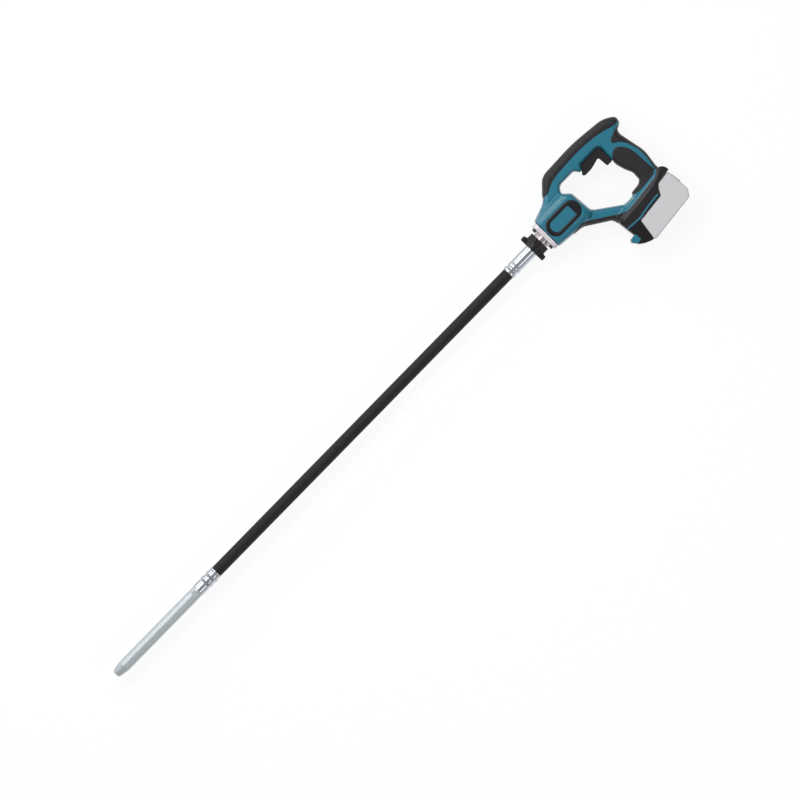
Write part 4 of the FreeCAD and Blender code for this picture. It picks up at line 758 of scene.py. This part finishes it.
def painted_shade_below(name, colour, height):
    """Painted shade: a darker second colour of a finish under a line that is level in the foot's
    tilted frame.
    """
    tree = MATERIALS[name].node_tree
    up = (-math.sin(FOOT_TILT), math.cos(FOOT_TILT), 0.0)
    level = float(np.dot(AXIS + tilt((0, height, 0)) / 1000, up))
    place = node(tree, "ShaderNodeTexCoord").outputs["Object"]
    rise = node(tree, "ShaderNodeVectorMath", {1: up}, {0: place}, operation="DOT_PRODUCT")
    second_colour(tree, maths(tree, "LESS_THAN", rise.outputs["Value"], level), colour)


LATHED = {"metal": 1.0, "texture": "lathe", "scale": 1.0}


def palette(settings):
    """Every finish of the tool."""
    teal, rubber, steel, pale = (
        tuple(colour) + (1.0,)
        for colour in (settings.teal, settings.rubber, settings.steel, settings.battery))
    # painted highlight: a lighter rubber colour for the tops of the pebbles
    speck_highlight_colour = tuple(min(1.0, 4.2 * c + 0.05) for c in settings.rubber) + (1.0,)
    finish("teal_plastic", teal, 0.3, depth=0.02, coat=0.4, coat_rough=0.12, specular=0.3)
    finish("grip_rubber", rubber, 0.5, texture="pebbles", scale=330.0, depth=0.25, speck_highlights=speck_highlight_colour,
           speck_highlight_amount=settings.speck_highlights, spread=0.2, specular=0.3)
    finish("band_rubber", linear(28, 26, 31), 0.34, scale=900.0, depth=0.04, spread=0.2,
           specular=0.36)
    # painted shade: the skirt under the stripe is coloured darker for the shade it lies in
    painted_shade_below("band_rubber", linear(9, 8, 9), SKIRT_TOP)
    finish("badge_black", linear(26, 24, 28), 0.26, depth=0.02, spread=0.15, specular=0.3)
    finish("black_nylon", linear(26, 23, 27), 0.34, depth=0.04, spread=0.2, smudge=0.15,
           specular=0.3)
    finish("trigger_nylon", linear(36, 32, 35), 0.4, depth=0.05, spread=0.2, specular=0.25)
    finish("dark_screw", linear(60, 58, 62), 0.35, metal=0.8, scale=2500.0)
    finish("cast_alloy", linear(216, 212, 218), 0.5, metal=0.25, depth=0.06, scale=700.0)
    finish("neck_steel", linear(178, 168, 170), 0.3, depth=0.003, smudge=0.05, **LATHED)
    finish("bright_tube", linear(186, 192, 200), 0.2, depth=0.002, smudge=0.04, spread=0.05,
           **LATHED)
    finish("head_steel", steel, 0.5, metal=0.7, texture="lathe", scale=1.0, depth=0.003,
           spread=0.1, smudge=0.12)
    finish("hose_cloth", linear(22, 20, 22), 0.62, texture="weave", scale=1.0, depth=0.18,
           spread=0.35, tone_scale=120.0, specular=0.35)
    finish("battery_pale", pale, 0.5, depth=0.03, spread=0.03)
    finish("ground_steel", linear(190, 190, 192), 0.28, depth=0.02, **LATHED)
    finish("sheet_steel", linear(160, 162, 165), 0.4, metal=1.0, scale=1500.0)
    finish("copper", linear(190, 110, 70), 0.35, metal=1.0, texture="lathe", scale=2.0, depth=0.1)
    finish("brass", linear(205, 170, 95), 0.32, metal=1.0, scale=1500.0)
    finish("carbon", linear(50, 50, 52), 0.7, scale=900.0)
    finish("ferrite", linear(70, 70, 74), 0.6, scale=700.0)
    finish("inner_nylon", linear(60, 60, 62), 0.5)
    finish("seal_rubber", linear(30, 30, 32), 0.6)
    finish("red_wire", linear(165, 35, 30), 0.45)
    finish("cell_wrap", linear(60, 120, 110), 0.35)
    finish("board_green", linear(30, 90, 55), 0.5)
    finish("spring_steel", linear(175, 175, 180), 0.3, metal=1.0, scale=2000.0)


NODE_FINISHES = {
    "teal_plastic": ["badge_plates"],
    "cast_alloy": ["front_flange"],
    "neck_steel": ["neck"],
    "dark_screw": ["flange_screws", "battery_screws"],
    "head_steel": ["head_coupling", "head_tube", "nose_cap"],
    "black_nylon": ["wing_nut", "switch_plunger"],
    "trigger_nylon": ["trigger"],
    "battery_pale": ["battery_upper_case", "battery_lower_case", "release_button"],
    "ground_steel": ["front_bearing", "rear_bearing", "head_bearings", "core_sleeves",
                     "eccentric_rotor", "armature_shaft", "drive_socket", "trigger_pin"],
    "spring_steel": ["bearing_clip", "flexible_core", "brush_springs", "trigger_spring",
                     "latch_spring"],
    "sheet_steel": ["motor_can", "armature_core"],
    "inner_nylon": ["hose_liner", "cooling_fan", "motor_end_cap", "switch_body",
                    "terminal_block", "cell_holder"],
    "seal_rubber": ["oil_seal"],
    "ferrite": ["magnets"],
    "copper": ["windings", "commutator"],
    "brass": ["brush_holders", "terminal_blades", "battery_contacts"],
    "carbon": ["brushes"],
    "red_wire": ["battery_leads", "motor_leads"],
    "cell_wrap": ["battery_cells"],
    "board_green": ["battery_board"],
}


# ============ settings
def colour_setting(name, description, display):
    """Colour property that starts at a display colour of 0 to 255."""
    return bpy.props.FloatVectorProperty(
        name=name, description=description, default=linear(*display)[:3],
        subtype="COLOR", size=3, min=0.0, max=1.0)


class VibratorSettings(bpy.types.PropertyGroup):
    """Sizes and colours of the vibrator's dressed pieces."""

    arm_depth: bpy.props.FloatProperty(
        name="Arm depth", description="Half thickness of the loop handle, in millimetres",
        default=19.0, min=10.0, max=30.0)
    barrel_depth: bpy.props.FloatProperty(
        name="Barrel depth", description="Half thickness of the motor barrel, in millimetres",
        default=34.5, min=20.0, max=45.0)
    proud: bpy.props.FloatProperty(
        name="Rubber height", description="How far the grips stand proud, in millimetres",
        default=0.8, min=0.2, max=2.0)
    hose_diameter: bpy.props.FloatProperty(
        name="Hose diameter", description="Outside diameter of the hose",
        default=0.0244, unit="LENGTH", subtype="DISTANCE")
    teal: colour_setting("Housing colour", "Colour of the moulded housing", (31, 114, 137))
    rubber: colour_setting("Rubber colour", "Colour of the grips", (35, 33, 36))
    steel: colour_setting("Head colour", "Tint of the steel head", (188, 196, 200))
    battery: colour_setting("Battery colour", "Colour of the battery case", (206, 206, 209))
    # strength of the painted highlight on the pebble tops
    speck_highlights: bpy.props.FloatProperty(
        name="Speck highlights", description="How strongly the tops of the pebbled rubber show",
        default=0.4, min=0.0, max=1.0, subtype="FACTOR")
    light: bpy.props.FloatProperty(
        name="Light", description="Strength of the lamps against their normal level",
        default=1.0, min=0.0, max=3.0, subtype="FACTOR")


def ready(context):
    """The scene's settings, once every finish has been made from them."""
    if not MATERIALS:
        palette(context.scene.vibrator)
    return context.scene.vibrator


# ============ operators
class VIBRATOR_OT_stage(bpy.types.Operator):
    """Camera over the tool, soft lamps and a pale floor"""

    bl_idname = "vibrator.stage"
    bl_label = "Stage"

    def execute(self, context):
        make_camera(context)
        make_floor(context)
        make_lamps(context, context.scene.vibrator.light)
        context.scene.view_settings.view_transform = "Standard"
        return {"FINISHED"}


def make_camera(context):
    """Straight down on the tool, with the shaft running from lower left to upper right."""
    camera = bpy.data.cameras.new("camera")
    camera.sensor_width = 36.0
    camera.lens = camera.sensor_width * CAMERA_HEIGHT / VIEW_WIDTH
    camera.clip_end = 2 * CAMERA_HEIGHT
    made = bpy.data.objects.new("camera", camera)
    made.location = (VIEW_MIDDLE[0], VIEW_MIDDLE[1], VIEW_MIDDLE[2] + CAMERA_HEIGHT)
    made.rotation_euler = (0.0, 0.0, VIEW_TURN)
    context.scene.collection.objects.link(made)
    context.scene.camera = made


def make_floor(context):
    """Pale floor with a low curved-up edge, which reads as white and takes the tool's shadow."""
    radius = np.array([0.0, 4.0, 8.0, 10.0, 11.0, 11.7, 12.0, 12.0])
    level = np.array([0.0, 0.0, 0.0, 0.0, 0.06, 0.3, 0.8, 1.7]) - 0.0005
    turn = full_turn(64)
    grid = np.stack([radius[:, None] * np.cos(turn), radius[:, None] * np.sin(turn),
                     np.broadcast_to(level[:, None], (len(level), len(turn)))], -1)
    mesh = bpy.data.meshes.new("floor")
    mesh.from_pydata(grid.reshape(-1, 3).tolist(), [],
                     quads(len(radius), len(turn))[:, ::-1].tolist())
    tidy(mesh)
    floor = bpy.data.objects.new("floor", mesh)
    context.scene.collection.objects.link(floor)
    material = bpy.data.materials.new("floor")
    material.use_nodes = True
    tree = material.node_tree
    tree.nodes.remove(tree.nodes["Principled BSDF"])
    path = node(tree, "ShaderNodeLightPath")
    sees = maths(tree, "MAXIMUM", path.outputs["Is Camera Ray"], path.outputs["Is Glossy Ray"])
    sees = maths(tree, "MAXIMUM", sees, path.outputs["Is Transmission Ray"])
    matte = node(tree, "ShaderNodeBsdfDiffuse", {"Color": (0.4, 0.4, 0.4, 1)})
    part = node(tree, "ShaderNodeBsdfDiffuse", {"Color": (0.13, 0.13, 0.13, 1)})
    glow = node(tree, "ShaderNodeEmission", {"Color": (1, 1, 1, 1), "Strength": 0.885})
    bright = node(tree, "ShaderNodeAddShader", {}, {0: part.outputs[0], 1: glow.outputs[0]})
    mix = node(tree, "ShaderNodeMixShader", {}, {0: sees, 1: matte.outputs[0],
                                                 2: bright.outputs[0]})
    tree.links.new(mix.outputs[0], tree.nodes["Material Output"].inputs["Surface"])
    mesh.materials.append(material)


def make_lamps(context, level):
    """A dim sky, and long soft strips to both sides of the camera and low on the grip side.

    The sky is paler towards the grip side, so edges that face it catch the light.
    """
    world = bpy.data.worlds.new("sky")
    context.scene.world = world
    world.use_nodes = True
    tree = world.node_tree
    place = node(tree, "ShaderNodeTexCoord")
    side = node(tree, "ShaderNodeSeparateXYZ", {}, {0: place.outputs["Generated"]})
    strength = node(tree, "ShaderNodeMapRange", {"From Min": -0.9, "From Max": 0.9,
                                                 "To Min": 0.3, "To Max": 0.6},
                    {"Value": side.outputs["Y"]})
    back = tree.nodes["Background"]
    back.inputs["Color"].default_value = (1, 1, 1, 1)
    tree.links.new(strength.outputs[0], back.inputs["Strength"])
    for name, at, wide, tall, power in LAMPS:
        lamp = bpy.data.lights.new(name, "AREA")
        lamp.shape = "RECTANGLE"
        lamp.size, lamp.size_y = wide, tall
        lamp.energy = power * level
        made = bpy.data.objects.new(name, lamp)
        made.location = at
        made.rotation_euler = Vector((0.0, -at[1], -at[2])).to_track_quat("-Z", "Y").to_euler()
        context.scene.collection.objects.link(made)


class VIBRATOR_OT_finishes(bpy.types.Operator):
    """Give each carried CAD node its own finish"""

    bl_idname = "vibrator.finishes"
    bl_label = "Finishes"

    def execute(self, context):
        ready(context)
        for look, names in NODE_FINISHES.items():
            for name in names:
                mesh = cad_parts[name].data
                mesh.materials.clear()
                mesh.materials.append(MATERIALS[look])
        return {"FINISHED"}


class VIBRATOR_OT_ferrules(bpy.types.Operator):
    """Crimped steel ferrules at both ends of the hose"""

    bl_idname = "vibrator.ferrules"
    bl_label = "Ferrules"

    def execute(self, context):
        ready(context)
        lower = tube_piece("lower_ferrule_skin", crimped(*LOWER_TUBE), LOWER_BORE, "bright_tube")
        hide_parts("lower_ferrule")
        upper = tube_piece("upper_ferrule_skin", np.vstack([crimped(*UPPER_TUBE), UPPER_COLLAR]),
                           UPPER_BORE, "bright_tube")
        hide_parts("upper_ferrule")
        return {"FINISHED"}


class VIBRATOR_OT_hose(bpy.types.Operator):
    """Straight rubber hose between the two ferrules"""

    bl_idname = "vibrator.hose"
    bl_label = "Hose"

    def execute(self, context):
        settings = ready(context)
        curve = bpy.data.curves.new("hose_line", "CURVE")
        curve.dimensions = "3D"
        spline = curve.splines.new("NURBS")
        spline.points.add(len(HOSE_ROUTE) - 1)
        places = np.hstack([AXIS + np.array(HOSE_ROUTE) / 1000, np.ones((len(HOSE_ROUTE), 1))])
        spline.points.foreach_set("co", places.ravel())
        spline.order_u = 3
        spline.use_endpoint_u = True
        spline.resolution_u = 12
        curve.bevel_depth = settings.hose_diameter / 2
        curve.bevel_resolution = 14
        curve.use_fill_caps = True
        curve.materials.append(MATERIALS["hose_cloth"])
        hose = bpy.data.objects.new("rubber_hose", curve)
        context.scene.collection.objects.link(hose)
        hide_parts("hose")
        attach(hose, TOOL)
        head = [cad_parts[n] for n in ("head_coupling", "head_tube", "nose_cap")]
        head.append(bpy.data.objects["lower_ferrule_skin"])
        return {"FINISHED"}


class VIBRATOR_OT_housing(bpy.types.Operator):
    """Teal housing: loop handle with the motor barrel, and the core of the foot"""

    bl_idname = "vibrator.housing"
    bl_label = "Housing"

    def execute(self, context):
        settings = ready(context)
        parts = [loop_grid(settings), foot_slab(CORE_OUTLINE, CORE_HALF, 6.0),
                 foot_slab(STRIPE_OUTLINE, STRIPE_HALF, 0.7, 200)]
        shell = piece("housing_shell", parts, MATERIALS["teal_plastic"])
        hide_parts("housing_left", "housing_right")
        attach(shell, TOOL)
        return {"FINISHED"}


class VIBRATOR_OT_grips(bpy.types.Operator):
    """Rubber skins on the top arm, spine, pistol grip and lower arm"""

    bl_idname = "vibrator.grips"
    bl_label = "Rubber grips"

    def execute(self, context):
        settings = ready(context)
        outer, window = handle_curves()
        skins = [
            ("top_grip_skin", "top_grip_rubber", outer, (47, 55), (263.8, 57.8), TOP_GRIP_BORDER),
            ("spine_skin", "spine_rubber", outer, (259, 50.6), (251, -75), SPINE_BORDER),
            ("pistol_grip_skin", "pistol_grip_rubber", window, (198.5, 8), (177, -66.5),
             FINGER_BORDER),
            ("lower_arm_skin", "lower_arm_rubber", outer, (38, -37), (119, -88), LOWER_BORDER)]
        for name, node_name, curve, first, last, border in skins:
            border = flowing(border, 190)
            edge = resampled(between(curve, first, last), len(border))
            parts = [skin_strip(edge, border, settings, settings.proud)]
            if name == "pistol_grip_skin":
                parts.append(bead((202, -62), (251, -62), 1.5, settings))
            made = piece(name, parts, MATERIALS["grip_rubber"], sharp=60)
            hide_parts(node_name)
            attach(made, TOOL)
        return {"FINISHED"}


class VIBRATOR_OT_foot(bpy.types.Operator):
    """Rubber band round the foot with its front skirt, and the hook"""

    bl_idname = "vibrator.foot"
    bl_label = "Foot band"

    def execute(self, context):
        ready(context)
        band = piece("foot_band_rubber", [band_slab()], MATERIALS["band_rubber"])
        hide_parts("foot_band")
        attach(band, TOOL)
        hook = piece("skirt_hook_shell", [foot_slab(HOOK_OUTLINE, HOOK_HALF, 2.4, 140)],
                     MATERIALS["teal_plastic"])
        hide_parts("skirt_hook")
        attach(hook, TOOL)
        return {"FINISHED"}


class VIBRATOR_OT_badge(bpy.types.Operator):
    """Domed black ring of the blank badge on both sides of the barrel"""

    bl_idname = "vibrator.badge"
    bl_label = "Badge"

    def execute(self, context):
        ready(context)
        outer = rounded(BADGE_OUTLINE, 240)
        inner = rounded(PLATE_OUTLINE, 240)
        parts = [domed_ring(outer, inner, RING_FOOT, RING_TOP, side) for side in (1, -1)]
        rings = piece("badge_ring", parts, MATERIALS["badge_black"])
        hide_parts("badge_rings")
        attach(rings, TOOL)
        return {"FINISHED"}


class VIBRATOR_OT_screws(bpy.types.Operator):
    """Heads of the case screws in the underside of the housing"""

    bl_idname = "vibrator.screws"
    bl_label = "Case screws"

    def execute(self, context):
        settings = ready(context)
        heads = piece("case_screw_heads", [screw_head(x, y, settings) for x, y in SCREW_PLACES],
                      MATERIALS["dark_screw"])
        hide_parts("case_screws")
        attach(heads, TOOL)
        return {"FINISHED"}


class VIBRATOR_PT_panel(bpy.types.Panel):
    """Buttons for the vibrator's pieces"""

    bl_label = "Concrete vibrator"
    bl_idname = "VIBRATOR_PT_panel"
    bl_space_type = "VIEW_3D"
    bl_region_type = "UI"
    bl_category = "Vibrator"

    def draw(self, context):
        """Every setting, then a button for each operator."""
        settings = context.scene.vibrator
        for name in settings.__annotations__:
            self.layout.prop(settings, name)
        for operator in OPERATORS:
            self.layout.operator(operator.bl_idname)


# In the order in which they run.
OPERATORS = (VIBRATOR_OT_stage, VIBRATOR_OT_ferrules, VIBRATOR_OT_hose, VIBRATOR_OT_finishes,
             VIBRATOR_OT_housing, VIBRATOR_OT_grips, VIBRATOR_OT_foot, VIBRATOR_OT_badge,
             VIBRATOR_OT_screws)
CLASSES = (VibratorSettings,) + OPERATORS + (VIBRATOR_PT_panel,)


def register():
    """Add the classes and the scene's settings."""
    for made in CLASSES:
        bpy.utils.register_class(made)
    bpy.types.Scene.vibrator = bpy.props.PointerProperty(type=VibratorSettings)


def unregister():
    """Take them away again."""
    del bpy.types.Scene.vibrator
    for made in reversed(CLASSES):
        bpy.utils.unregister_class(made)


def main():
    """Build everything."""
    register()
    for operator in OPERATORS:
        group, name = operator.bl_idname.split(".")
        getattr(getattr(bpy.ops, group), name)()


if __name__ == "__main__":
    main()
